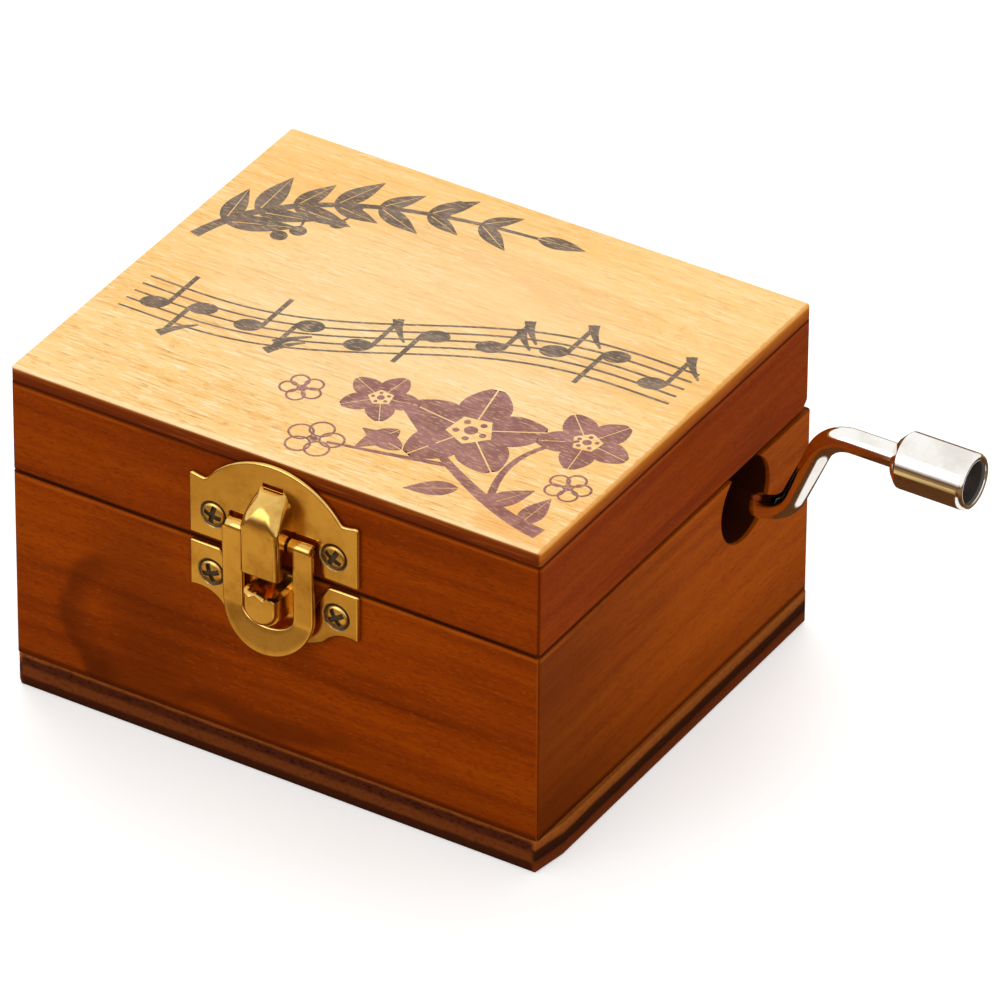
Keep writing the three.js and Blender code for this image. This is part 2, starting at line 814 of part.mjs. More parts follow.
function lowerPlate() {
  const outline = mirrored(lowerPlateOutline).filter(uniquePoint);
  const sheet = plateSolid(outline, latchPlateThickness);
  const start = latchPlateThickness / 2;
  const pocketHalf = catchHalfWidth - catchWall;
  const rise = catchFrontRise;
  const shell = skinned([
    catchRing(start, catchHalfWidth, -catchBottom, -catchTop),
    catchRing(latchPlateThickness + rise, catchHalfWidth, -catchBottom, -catchTop),
    catchRing(catchReach, catchHalfWidth, rise - catchBottom, -catchTop),
  ]);
  const pocket = skinned([
    catchRing(latchPlateThickness, pocketHalf, catchWall - catchBottom, overrun - catchTop),
    catchRing(latchPlateThickness + rise, pocketHalf, catchWall - catchBottom, overrun - catchTop),
    catchRing(catchReach - catchWall, pocketHalf, rise + catchWall - catchBottom, overrun - catchTop),
  ]);
  return cut(joined(sheet, shell), pocket, ...latchDimples(lowerScrewPlaces));
}

// The hasp's sheet seen from the side: front and back faces as (y, z).
function haspSheetProfile() {
  const top = haspPinUp;
  const front = haspPinOut + barrelRadius;
  const t = haspThickness;
  return [
    [-front, top],
    [-haspBendOut, -haspBendDown],
    [-haspTipOut, -haspTip],
    [-haspTipOut, -haspTip - overrun],
    [t - haspTipOut, -haspTip - overrun],
    [t - haspTipOut, -haspTip],
    [t - haspBendOut, -haspBendDown],
    [t - front, top],
  ];
}

// A plate outline with a half round foot: the hasp's own, or its window's.
function roundFooted(half, footBottom, footRound, top) {
  const shape = new THREE.Shape();
  shape.moveTo(half, top);
  shape.lineTo(-half, top);
  shape.lineTo(-half, footBottom + footRound);
  shape.absellipse(0, footBottom + footRound, half, footRound, Math.PI, 2 * Math.PI, false, 0);
  shape.closePath();
  return shape;
}

function hasp() {
  const wide = [-haspHalfWidth, haspHalfWidth];
  const sheet = prism("x", haspSheetProfile(), wide);
  const deep = [-haspTipOut - overrun, overrun];
  const barrelFoot = haspPinUp - barrelRadius;
  const outline = prism("y", roundFooted(haspHalfWidth, -haspTip, haspRound, haspPinUp), deep, plainSides);
  const barrel = rod("x", [-barrelHalfLength, barrelHalfLength], [-haspPinOut, haspPinUp], barrelRadius);
  const windowShape = roundFooted(haspWindowHalfWidth, -haspWindowBottom, haspWindowRound, barrelFoot);
  const window = prism("y", windowShape, deep, plainSides);
  const noseRoom = noseHalfWidth + runningGap;
  const betweenSpan = [barrelFoot - overrun, haspPinUp + barrelRadius + overrun];
  const between = block([-noseRoom, noseRoom], deep, betweenSpan);
  const bore = rod(
    "x",
    [-barrelHalfLength - overrun, barrelHalfLength + overrun],
    [-haspPinOut, haspPinUp],
    barrelBore,
    smallSides,
  );
  return cut(joined(sheet.intersect(outline), barrel), window, between, bore);
}

function makeLatch() {
  piece(lidLatch, "latch_upper_plate", upperPlate(), brass);
  piece(boxLatch, "latch_lower_plate", lowerPlate(), brass);
  piece(lidLatch, "hasp", hasp(), brass);
  const pinSpan = [-barrelHalfLength, barrelHalfLength];
  piece(lidLatch, "hasp_pin", rod("x", pinSpan, [-haspPinOut, haspPinUp], haspPinRadius, smallSides), brass);
  const seat = -latchScrewSeat - latchScrewHeadHeight;
  const sets = [
    ["upper", lidLatch, upperScrewPlaces],
    ["lower", boxLatch, lowerScrewPlaces],
  ];
  for (const [row, group, places] of sets) {
    for (const [side, [x, , z]] of Object.entries(places)) {
      piece(group, `latch_screw_${row}_${side}`, placed(latchScrew(), "front", [x, seat, z]), brass);
    }
  }
}

// Bedplate casting with the comb's ledge and the bosses for its screws.
function bedplate() {
  const r = bedCornerRadius;
  const outline = new THREE.Shape();
  outline.absarc(bedRight - r, bedBack - r, r, 0, Math.PI / 2);
  outline.absarc(bedLeft + r, bedBack - r, r, Math.PI / 2, Math.PI);
  outline.absarc(bedLeft + r, bedFront + r, r, Math.PI, (3 * Math.PI) / 2);
  outline.absarc(bedRight - r, bedFront + r, r, (3 * Math.PI) / 2, 2 * Math.PI);
  const windowSides = [ledgeRight + ledgeMargin, combTipX];
  const window = new THREE.Path([
    new THREE.Vector2(windowSides[0], cylinderFront),
    new THREE.Vector2(windowSides[0], cylinderBack),
    new THREE.Vector2(windowSides[1], cylinderBack),
    new THREE.Vector2(windowSides[1], cylinderFront),
  ]);
  outline.holes.push(window);
  const plate = prism("z", outline, [basePanelThickness, bedTop], cornerSides);
  const ledge = block(
    [bedLeft, ledgeRight],
    [cylinderFront - ledgeMargin, cylinderBack + ledgeMargin],
    [basePanelThickness, ledgeTop],
  );
  const bosses = bossPlaces.map((at) => rod("z", [basePanelThickness, bedTop + bossHeight], at, bossRadius));
  const mountHoles = bossPlaces.map((at) => {
    return rod("z", [-overrun, mountScrewTop + runningGap], at, mountShank + runningGap, smallSides);
  });
  const screwHoles = [...combScrewPlaces, ...frontFootScrewPlaces, ...rearFootScrewPlaces].map((at) => {
    return placed(machineScrewHole(), "up", at);
  });
  return cut(joined(plate, ledge, ...bosses), ...mountHoles, ...screwHoles);
}

function bearingPost(axis, centre, span) {
  const outline = new THREE.Shape();
  outline.moveTo(centre[0] + bearingHalfWidth, bedTop);
  outline.lineTo(centre[0] + bearingHalfWidth, centre[1]);
  outline.absarc(centre[0], centre[1], bearingHalfWidth, 0, Math.PI);
  outline.lineTo(centre[0] - bearingHalfWidth, bedTop);
  outline.closePath();
  const bore = rod(axis, [span[0] - overrun, span[1] + overrun], centre, shaftRadius + runningGap);
  return cut(prism(axis, outline, span, smallSides), bore);
}

const combScrewPlaces = [-1, 1].map((side) => {
  const y = (cylinderFront + cylinderBack) / 2 + side * cylinderLength * combScrewShare;
  return [(bedLeft + ledgeRight) / 2, y, arborZ + combThickness / 2 + machineHeadHeight];
});
const footHalf = bearingHalfSpan + bearingPlate;
const frontFootScrewPlaces = [-1, 1].map((side) => [
  wheelX + side * (bearingHalfWidth + footEar / 2),
  frontBearingY - bearingPlate / 2,
  footTop + machineHeadHeight,
]);
const rearFootScrewPlaces = [-1, 1].map((side) => [
  wheelX + side * (footHalf + footEar / 2),
  shaftAxis.y,
  footTop + machineHeadHeight,
]);

function frontBearing() {
  const span = [frontBearingY - bearingPlate, frontBearingY];
  const half = bearingHalfWidth + footEar;
  const ear = footEar / 2;
  const middle = (span[0] + span[1]) / 2;
  const foot = block([wheelX - half, wheelX + half], [middle - ear, middle + ear], [bedTop, footTop]);
  const holes = frontFootScrewPlaces.map((at) => placed(machineScrewHole(), "up", at));
  return cut(joined(foot, bearingPost("y", [wheelX, arborZ], span)), ...holes);
}

function gearBracket() {
  const left = [wheelX - footHalf, wheelX - bearingHalfSpan];
  const right = [wheelX + bearingHalfSpan, wheelX + footHalf];
  const rear = [rearBearingY, rearBearingY + bearingPlate];
  const half = footHalf + footEar;
  const frontEdge = shaftAxis.y - bearingHalfWidth;
  const foot = block([wheelX - half, wheelX + half], [frontEdge, rear[1]], [bedTop, footTop]);
  const posts = [left, right].map((span) => bearingPost("x", [shaftAxis.y, shaftAxis.z], span));
  const rearPost = bearingPost("y", [wheelX, arborZ], rear);
  const holes = rearFootScrewPlaces.map((at) => placed(machineScrewHole(), "up", at));
  return cut(joined(foot, rearPost, ...posts), ...holes);
}

// The worm, with a right-handed thread whose lead matches the wheel's pitch. Its one skin has helical
// rows of points, brought in to the core's size at both ends.
function wormBody() {
  const lead = Math.PI * toothModule;
  const root = wormPitchRadius - dedendum;
  const tip = wormPitchRadius + addendum;
  const slope = Math.tan(pressureAngle);
  const pitchHalf = lead / 4 - backlash / 2;
  const threadHalf = (wormTurns * lead) / 2;
  const half = threadHalf + lead / 2;
  const profile = [
    [-pitchHalf - dedendum * slope, root],
    [-pitchHalf + addendum * slope, tip],
    [pitchHalf - addendum * slope, tip],
    [pitchHalf + dedendum * slope, root],
  ];
  const outerTurns = Math.ceil(half / lead) + 1;
  const rows = [];
  for (let turn = -outerTurns; turn <= outerTurns; turn += 1) {
    rows.push(...profile.map(([along, radius]) => [along + turn * lead, radius]));
  }
  const positions = [];
  const ringPoint = (x, radius, column) => {
    const angle = (2 * Math.PI * column) / threadSides - Math.PI / 2;
    const y = shaftAxis.y + radius * Math.cos(angle);
    positions.push(wheelX + x, y, shaftAxis.z + radius * Math.sin(angle));
  };
  for (const end of [-half, half]) {
    for (let column = 0; column < threadSides; column += 1) {
      ringPoint(end, root, column);
    }
  }
  const grid = rows.map(([along, radius]) => {
    return Array.from({ length: threadSides }, (_, column) => {
      const x = along + (lead * column) / threadSides;
      if (x <= -half) return column;
      if (x >= half) return threadSides + column;
      ringPoint(x, Math.abs(x) < threadHalf ? radius : root, column);
      return positions.length / 3 - 1;
    });
  });
  const faces = [];
  const face = (...corners) => {
    if (new Set(corners).size === 3) faces.push(...corners);
  };
  for (let row = 0; row + 1 + profile.length < grid.length; row += 1) {
    for (let column = 0; column < threadSides; column += 1) {
      const wraps = column + 1 === threadSides;
      const next = wraps ? 0 : column + 1;
      const shift = wraps ? profile.length : 0;
      const a = grid[row][column];
      const b = grid[row + shift][next];
      const c = grid[row + 1 + shift][next];
      const d = grid[row + 1][column];
      face(a, b, c);
      face(a, c, d);
    }
  }
  for (let column = 1; column + 1 < threadSides; column += 1) {
    face(0, column + 1, column);
    face(threadSides, threadSides + column, threadSides + column + 1);
  }
  const geometry = new THREE.BufferGeometry();
  geometry.setAttribute("position", new THREE.Float32BufferAttribute(positions, 3));
  geometry.setIndex(faces);
  return solid(geometry);
}

function wormShaft() {
  const centre = [shaftAxis.y, shaftAxis.z];
  const left = wheelX - footHalf - seatGap;
  const hubLeft = wheelX + footHalf + seatGap;
  const hubRight = hubLeft + hubLength;
  const leftCollar = wheelX - bearingHalfSpan + seatGap;
  const rightCollar = wheelX + bearingHalfSpan - seatGap;
  const shaft = rod("x", [left, hubLeft + overrun], centre, shaftRadius);
  const collars = [
    rod("x", [leftCollar, leftCollar + collarThickness], centre, collarRadius),
    rod("x", [rightCollar - collarThickness, rightCollar], centre, collarRadius),
  ];
  const hub = rod("x", [hubLeft, hubRight], centre, hubRadius);
  const socket = rod("x", [hubRight - hubSocketDepth, hubRight + overrun], centre, wireRadius + runningGap);
  return cut(joined(shaft, wormBody(), ...collars, hub), socket);
}

// The wheel's involute outline, a tooth gap facing up at rest.
function wheelOutline() {
  const base = wheelPitchRadius * Math.cos(pressureAngle);
  const root = wheelPitchRadius - dedendum;
  const tip = wheelPitchRadius + addendum;
  const involute = (a) => Math.tan(a) - a;
  const pitchHalf = (toothModule * Math.PI) / 4 - backlash / 2;
  const halfAngle = (radius) => {
    const angle = radius > base ? Math.acos(base / radius) : 0;
    return pitchHalf / wheelPitchRadius + involute(pressureAngle) - involute(angle);
  };
  const radii = [root, Math.max(base, root), wheelPitchRadius, tip];
  const points = [];
  for (let tooth = 0; tooth < wheelTeeth; tooth += 1) {
    const middle = Math.PI / 2 + ((tooth + 0.5) * 2 * Math.PI) / wheelTeeth;
    for (const radius of radii) points.push([radius, middle - halfAngle(radius)]);
    for (const radius of [...radii].reverse()) points.push([radius, middle + halfAngle(radius)]);
  }
  return points.map(([radius, angle]) => [radius * Math.cos(angle), radius * Math.sin(angle)]);
}

// The wheel's teeth are twisted to the worm's lead angle.
function wormWheel() {
  const shape = new THREE.Shape(wheelOutline().map(([x, z]) => new THREE.Vector2(x, z)));
  const geometry = new THREE.ExtrudeGeometry(shape, { depth: wheelWidth, bevelEnabled: false });
  geometry.translate(0, 0, -wheelWidth / 2).rotateX(Math.PI / 2);
  const twist = (toothModule / 2) / wormPitchRadius / wheelPitchRadius;
  const places = geometry.getAttribute("position");
  const point = new THREE.Vector3();
  for (let k = 0; k < places.count; k += 1) {
    point.fromBufferAttribute(places, k);
    point.applyAxisAngle(yAxis, point.y * twist);
    places.setXYZ(k, point.x, point.y, point.z);
  }
  geometry.translate(wheelX, shaftAxis.y, arborZ);
  const across = [shaftAxis.y - wheelWidth - overrun, shaftAxis.y + wheelWidth + overrun];
  const bore = rod("y", across, [wheelX, arborZ], arborRadius + runningGap);
  return cut(solid(geometry), bore);
}

// The cylinder's pins: each note track has its own pins, spread round by a steady step.
function cylinderPins() {
  const pins = [];
  const length = pinRoot + pinHeight;
  for (let track = 0; track < combTeeth; track += 1) {
    const y = cylinderFront + combPitch * (track + 1);
    for (let note = 0; note < notesPerTrack; note += 1) {
      const beat = note + trackShift * (track % notesPerTrack);
      const turn = track * trackTurn + (beat * 2 * Math.PI) / notesPerTrack;
      const geometry = new THREE.CylinderGeometry(pinRadius * pinTipShare, pinRadius, length, pinSides);
      geometry.translate(0, cylinderRadius - pinRoot + length / 2, 0);
      geometry.rotateX(Math.PI / 2).rotateY(turn).translate(wheelX, y, arborZ);
      pins.push(solid(geometry));
    }
  }
  return pins;
}

function musicCylinder() {
  const centre = [wheelX, arborZ];
  const span = [cylinderFront, cylinderBack];
  const bore = cylinderRadius - cylinderWall;
  const tube = rod("y", span, centre, cylinderRadius, fineSides);
  const hollow = rod("y", [span[0] - overrun, span[1] + overrun], centre, bore, fineSides);
  return cut(joined(tube, ...cylinderPins()), hollow);
}

function endCap(side) {
  const outer = cylinderRadius;
  const spigot = cylinderRadius - cylinderWall - runningGap;
  const bore = arborRadius + runningGap;
  const profile = [
    [bore, -endCapSpigot],
    [spigot, -endCapSpigot],
    [spigot, 0],
    [outer, 0],
    [outer, endCapThickness],
    [bore, endCapThickness],
    [bore, -endCapSpigot],
  ];
  const cap = turned("y", profile, onAxis, fineSides);
  const centre = [wheelX, arborZ];
  if (side === "rear") return cap.translate([centre[0], cylinderBack, centre[1]]);
  return cap.rotate([180, 0, 0]).translate([centre[0], cylinderFront, centre[1]]);
}

function arbor() {
  const span = [frontBearingY - bearingPlate - seatGap, rearBearingY + bearingPlate + seatGap];
  return rod("y", span, [wheelX, arborZ], arborRadius);
}

// The comb: a steel plate whose slots leave the teeth, longer for the low notes.
function comb() {
  const left = bedLeft;
  const front = cylinderFront - ledgeMargin;
  const back = cylinderBack + ledgeMargin;
  const firstEdge = cylinderFront + combPitch / 2;
  const lastEdge = firstEdge + combTeeth * combPitch;
  const slotBottom = (edge) => {
    const alongShare = (edge - firstEdge) / (lastEdge - firstEdge);
    const slotShare = 1 - (1 - shortestSlotShare) * alongShare;
    return combTipX - (combTipX - ledgeRight - combRootRoom) * slotShare;
  };
  const points = [
    [left, front],
    [slotBottom(firstEdge) + combSlot, front],
    [slotBottom(firstEdge), firstEdge],
  ];
  for (let tooth = 0; tooth < combTeeth; tooth += 1) {
    const low = firstEdge + tooth * combPitch;
    const high = low + combPitch;
    points.push([combTipX, low + combSlot / 2], [combTipX, high - combSlot / 2]);
    if (tooth + 1 < combTeeth) {
      points.push([slotBottom(high), high - combSlot / 2], [slotBottom(high), high + combSlot / 2]);
    }
  }
  points.push([slotBottom(lastEdge), lastEdge], [slotBottom(lastEdge), back], [left, back]);
  const plate = prism("z", points, [ledgeTop, ledgeTop + combThickness]);
  const weights = Array.from({ length: combWeightTeeth }, (_, tooth) => {
    const low = firstEdge + tooth * combPitch + combSlot / 2;
    const right = combTipX - combTipGap;
    const across = [low, low + combPitch - combSlot];
    return block([right - combWeightLength, right], across, [ledgeTop - combWeightDrop, ledgeTop]);
  });
  const holes = combScrewPlaces.map((at) => placed(machineScrewHole(), "up", at));
  return cut(joined(plate, ...weights), ...holes);
}

function mountScrew() {
  const profile = [
    [0, mountScrewFoot - mountHeadHeight],
    [mountHead, mountScrewFoot - mountHeadHeight],
    [mountHead, mountScrewFoot],
    [mountShank, mountScrewFoot],
    [mountShank, mountScrewTop],
    [0, mountScrewTop],
  ];
  const recess = crossRecess(mountHead, mountHeadHeight);
  const body = turned("z", profile, onAxis, plainSides);
  return cut(body, placed(recess, "down", [0, 0, mountScrewFoot - mountHeadHeight]));
}

function makeMovement() {
  piece(fixed, "bedplate", bedplate(), castZinc);
  piece(fixed, "front_arbor_bearing", frontBearing(), castZinc);
  piece(fixed, "gear_bracket", gearBracket(), castZinc);
  piece(fixed, "comb", comb(), steel);
  combScrewPlaces.forEach((at, n) => {
    piece(fixed, `comb_screw_${n + 1}`, placed(machineScrew(), "up", at), steel);
  });
  frontFootScrewPlaces.forEach((at, n) => {
    piece(fixed, `bearing_screw_${n + 1}`, placed(machineScrew(), "up", at), steel);
  });
  rearFootScrewPlaces.forEach((at, n) => {
    piece(fixed, `bracket_screw_${n + 1}`, placed(machineScrew(), "up", at), steel);
  });
  bossPlaces.forEach(([x, y], n) => {
    piece(fixed, `mount_screw_${n + 1}`, mountScrew().translate([x, y, 0]), steel);
  });
  piece(musicBox, "music_cylinder", musicCylinder(), brass);
  piece(musicBox, "cylinder_cap_front", endCap("front"), darkPlastic);
  piece(musicBox, "cylinder_cap_rear", endCap("rear"), darkPlastic);
  piece(musicBox, "cylinder_arbor", arbor(), steel);
  piece(musicBox, "worm_wheel", wormWheel(), brass);
  piece(musicBox, "worm_shaft", wormShaft(), steel);
}

// The crank's middle line: straight out of the case, up the arm and out along the handle.
function crankPath(from, to) {
  const foot = new THREE.Vector3(crankLowerBendX, shaftAxis.y, shaftAxis.z);
  const top = foot.clone().add(new THREE.Vector3(crankThrowX, 0, crankThrowZ));
  const start = new THREE.Vector3(from, foot.y, foot.z);
  const end = new THREE.Vector3(to, top.y, top.z);
  const corner = (before, at, after) => {
    const into = at.clone().add(before.clone().sub(at).setLength(crankBendLength));
    const out = at.clone().add(after.clone().sub(at).setLength(crankBendLength));
    return new THREE.QuadraticBezierCurve3(into, at, out);
  };
  const lower = corner(start, foot, top);
  const upper = corner(foot, top, end);
  const path = new THREE.CurvePath();
  path.add(new THREE.LineCurve3(start, lower.v0));
  path.add(lower);
  path.add(new THREE.LineCurve3(lower.v2, upper.v0));
  path.add(upper);
  path.add(new THREE.LineCurve3(upper.v2, end));
  return path;
}

function makeCrank() {
  const socketBottom = wheelX + footHalf + seatGap + hubLength - hubSocketDepth;
  const hollowBottom = knobStart + knobLength - knobHollowDepth;
  const wireEnd = hollowBottom + runningGap + peenThickness;
  const section = new THREE.Shape().absarc(0, 0, wireRadius, 0, 2 * Math.PI);
  const wire = new THREE.ExtrudeGeometry(section, {
    extrudePath: crankPath(socketBottom + runningGap, wireEnd),
    steps: wireSteps,
    curveSegments: edgeSteps,
  });
  const handleAt = [shaftAxis.y, shaftAxis.z + crankThrowZ];
  const peen = rod("x", [hollowBottom + runningGap, wireEnd], handleAt, peenRadius, plainSides);
  piece(musicBox, "crank_handle", joined(solid(wire), peen), nickel);
  const bore = wireRadius + runningGap;
  const profile = [
    [bore, 0],
    [knobShoulderFace, 0],
    [knobRadius, knobShoulder],
    [knobRadius, knobLength - 2 * knobRim],
    [knobRadius - knobRim * knobRimShare, knobLength - knobRim * knobRimShare],
    [knobRadius - knobRim, knobLength],
    [knobHollowRadius, knobLength],
    [knobHollowRadius, knobLength - knobHollowDepth],
    [bore, knobLength - knobHollowDepth],
    [bore, 0],
  ];
  const knob = turned("x", profile, handleAt, fineSides).translate([knobStart, 0, 0]);
  piece(musicBox, "crank_knob", knob, nickel);
}

makeCase();
makeLid();
makeHinges();
makeLatch();
makeMovement();
makeCrank();

export default musicBox;
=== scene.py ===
import math

import bmesh
import bpy
from mathutils import Matrix, Vector


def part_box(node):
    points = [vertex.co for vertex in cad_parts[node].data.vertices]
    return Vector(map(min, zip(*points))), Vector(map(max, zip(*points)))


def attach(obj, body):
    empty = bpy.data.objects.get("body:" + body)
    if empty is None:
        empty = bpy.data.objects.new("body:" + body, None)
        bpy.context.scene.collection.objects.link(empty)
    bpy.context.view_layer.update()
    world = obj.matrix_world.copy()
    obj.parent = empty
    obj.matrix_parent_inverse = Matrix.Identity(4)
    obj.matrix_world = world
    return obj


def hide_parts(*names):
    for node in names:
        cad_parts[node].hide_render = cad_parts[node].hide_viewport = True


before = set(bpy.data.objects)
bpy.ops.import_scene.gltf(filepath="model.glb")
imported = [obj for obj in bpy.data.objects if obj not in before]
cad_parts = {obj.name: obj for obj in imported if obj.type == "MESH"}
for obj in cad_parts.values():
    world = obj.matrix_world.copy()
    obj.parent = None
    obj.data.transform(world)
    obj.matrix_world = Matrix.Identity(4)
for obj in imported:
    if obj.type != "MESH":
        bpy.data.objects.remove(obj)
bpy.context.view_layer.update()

scene = bpy.context.scene

# Meshes are drawn in millimetres and brought to metres when a piece is finished.
METRE = 1000

# The camera, fitted to the corners of the case in the photograph
CAMERA_TURN = math.radians(31.355)
CAMERA_LIFT = math.radians(34.472)
CAMERA_ROLL = math.radians(0.431)
CAMERA_DISTANCE = 1151.975
CAMERA_TARGET = Vector((10.799, 0, 23.142))
CAMERA_FOCUS_PX = 11085
PICTURE_PX = 1001
SENSOR = 36

# The case, repeated from the part
HALF_WIDTH = 32
HALF_DEPTH = 27
BODY_TOP = 27
CASE_TOP = 40
BASE_TOP = 4.1
PANEL = 1.8

# The latch, from the middle line of its plates at the top of the body
LATCH_X = 0.45
PLATE = 0.6
PLATE_HALF = 10.25
UPPER_FOOT = 0.9
UPPER_TOP = 12.5
ARCH_RISE = 4.3
HORN_WIDTH = 2.1
HORN_LIP = 0.25
UPPER_PAD_FOOT = 6.1
PAD_WAIST = 5.3
BARREL_SLOT_TOP = 5.2
UPPER_SCREW = (7.3, 4)
LOWER_SCREW = (7.6, -3.3)
LOWER_DROP = 5.7
LOWER_DEPTH = 8.5
LOWER_PAD_TOP = 6.6
LOWER_PAD_WAIST = 5.45
LOWER_NOTCH = 5.7
LOWER_WEB = 4.1
SCALLOP_RISE = 0.6
DIMPLE_DEPTH = 0.25
SLOT_WIDTH = 2.5
SLOT_HEIGHT = 0.5
NOSE_HALF = 2.3
NOSE_REACH = 3.6
NOSE_FOOT = 0.5
NOSE_SHOULDER = 6.2
NOSE_TOP = 9.7
NOSE_WALL = 0.6
PIN_OUT = 1.05
PIN_UP = 4.05
PIN_RADIUS = 0.36
BARREL_RADIUS = 0.9
BARREL_BORE = 0.48
BARREL_HALF = 5.15
HASP_HALF = 5.5
HASP_ROUND = 5.4
HASP_TIP = -9.55
HASP_TIP_OUT = 2.85
HASP_BEND = -5
HASP_BEND_OUT = 1.75
WINDOW_HALF = 3.05
WINDOW_FOOT = -6.4
WINDOW_ROUND = 1.6
CATCH_HALF = 2.1
CATCH_REACH = 3.45
CATCH_TOP = -1.8
CATCH_FOOT = -6.15
CATCH_RISE = 1.05
CATCH_WALL = 0.5

# The crank and the movement
SHAFT_Y = 13.8
SHAFT_Z = 23
WIRE_RADIUS = 1.32
BEND_X = 36.9
THROW_X = 5.1
THROW_Z = 11.95
BEND_RADIUS = 4.6
WIRE_START = 27.05
KNOB_START = 50.35
KNOB_LENGTH = 8.85
KNOB_RADIUS = 3.1
HOLLOW_RADIUS = 2.4
HOLLOW_DEPTH = 3.2
PEEN_RADIUS = 1.9
PEEN_THICKNESS = 0.7
WHEEL_X = 6
ARBOR_Z = 15
CYLINDER_RADIUS = 6.5
CYLINDER_FRONT = -10
CYLINDER_BACK = 10
TEETH = 20
WORM_PITCH = 2
WHEEL_PITCH = 6
MODULE = 0.6
PRESSURE_ANGLE = math.pi / 9
WHEEL_HALF = 1.5
SHAFT_RADIUS = 1
SHAFT_TIP = 0.15
COLLAR_RADIUS = 1.8
COLLAR_START = 6.1
COLLAR_WIDTH = 1
HUB_START = 9.3
HUB_RADIUS = 2.1
HUB_EDGE = 0.1
HUB_BORE = 1.4
HUB_DEPTH = 4.6
CAP_BORE = 1.15
CAP_PLUG_RADIUS = 5.75
CAP_PLUG_LENGTH = 1.2
CAP_THICKNESS = 0.8
DRUM_WALL = 0.6
DRUM_EDGE = 0.08
TRACKS = 18
PINS_PER_TRACK = 3
TRACK_TURN = 2.4
PIN_RISE = 0.9
PIN_ROOT = 0.3
PIN_TIP_RADIUS = 0.2
PIN_FOOT_RADIUS = 0.3

# How far from the middle of the crank's hole painted shade darkens the wood inside the hole, and where that has faded
HOLE_SHADE = (5.6, 7.0)


# Node trees, written as expressions

def operator(operation, swapped=False):
    """One of Python's operators as a node that does the same."""

    def apply(reading, other=0.0):
        first, second = (other, reading) if swapped else (reading, other)
        return reading.graph.maths(operation, first, second)

    return apply


class Reading:
    """A socket that carries a number, used with Python's own operators."""

    def __init__(self, graph, socket):
        self.graph = graph
        self.socket = socket

    __add__ = __radd__ = operator("ADD")
    __sub__ = operator("SUBTRACT")
    __rsub__ = operator("SUBTRACT", swapped=True)
    __mul__ = __rmul__ = operator("MULTIPLY")
    __truediv__ = operator("DIVIDE")
    __mod__ = operator("MODULO")
    __pow__ = operator("POWER")
    __abs__ = operator("ABSOLUTE")


class Graph:
    """A node tree with one way to add a node: its type, its settings, then its sockets."""

    def __init__(self, tree):
        self.tree = tree

    def add(self, kind, settings=None, sockets=None, output=0):
        node = self.tree.nodes.new(kind)
        for key, value in (settings or {}).items():
            setattr(node, key, value)
        for key, value in (sockets or {}).items():
            if isinstance(value, Reading):
                self.tree.links.new(value.socket, node.inputs[key])
            else:
                node.inputs[key].default_value = value
        return Reading(self, node.outputs[output]) if len(node.outputs) else None

    def maths(self, operation, first, second=0.0):
        return self.add("ShaderNodeMath", {"operation": operation}, {0: first, 1: second})

    def ramp(self, value, stops):
        """A colour that runs through stops of (place, tone) along a value."""
        made = self.add("ShaderNodeValToRGB", sockets={0: value})
        elements = made.socket.node.color_ramp.elements
        while len(elements) < len(stops):
            elements.new(1)
        for element, (place, tone) in zip(elements, stops):
            element.position = place
            element.color = painted(tone)
        return made

    def seen(self):
        """1 for what the camera, a gloss or something clear sees, and 0 for what only lights."""
        seen = 0
        for ray in ("Is Camera Ray", "Is Glossy Ray", "Is Transmission Ray"):
            seen = self.add("ShaderNodeLightPath", output=ray) + seen
        return self.maths("MINIMUM", seen, 1.0)

    def vector(self, *numbers):
        return self.add("ShaderNodeCombineXYZ", sockets=dict(enumerate(numbers)))


class Growth(Graph):
    """A geometry node tree with named inputs, each given with its kind of socket."""

    def __init__(self, name, **inputs):
        super().__init__(bpy.data.node_groups.new(name, "GeometryNodeTree"))
        for label, kind in inputs.items():
            self.tree.interface.new_socket(label, in_out="INPUT", socket_type=f"NodeSocket{kind}")
        self.tree.interface.new_socket("shape", in_out="OUTPUT", socket_type="NodeSocketGeometry")
        self.entry = {label: self.add("NodeGroupInput", output=n) for n, label in enumerate(inputs)}

    def laid(self, points, instance, rotation):
        sockets = {"Points": points, "Instance": instance, "Rotation": rotation}
        return self.add("GeometryNodeInstanceOnPoints", sockets=sockets)

    def real(self, shape):
        return self.add("GeometryNodeRealizeInstances", sockets={0: shape})

    def close(self, shape):
        """Makes the shape real, gives it the finish and ends the tree with it."""
        dressed = {"Geometry": self.real(shape), "Material": self.entry["finish"]}
        self.add("NodeGroupOutput", sockets={0: self.add("GeometryNodeSetMaterial", sockets=dressed)})
        return self.tree


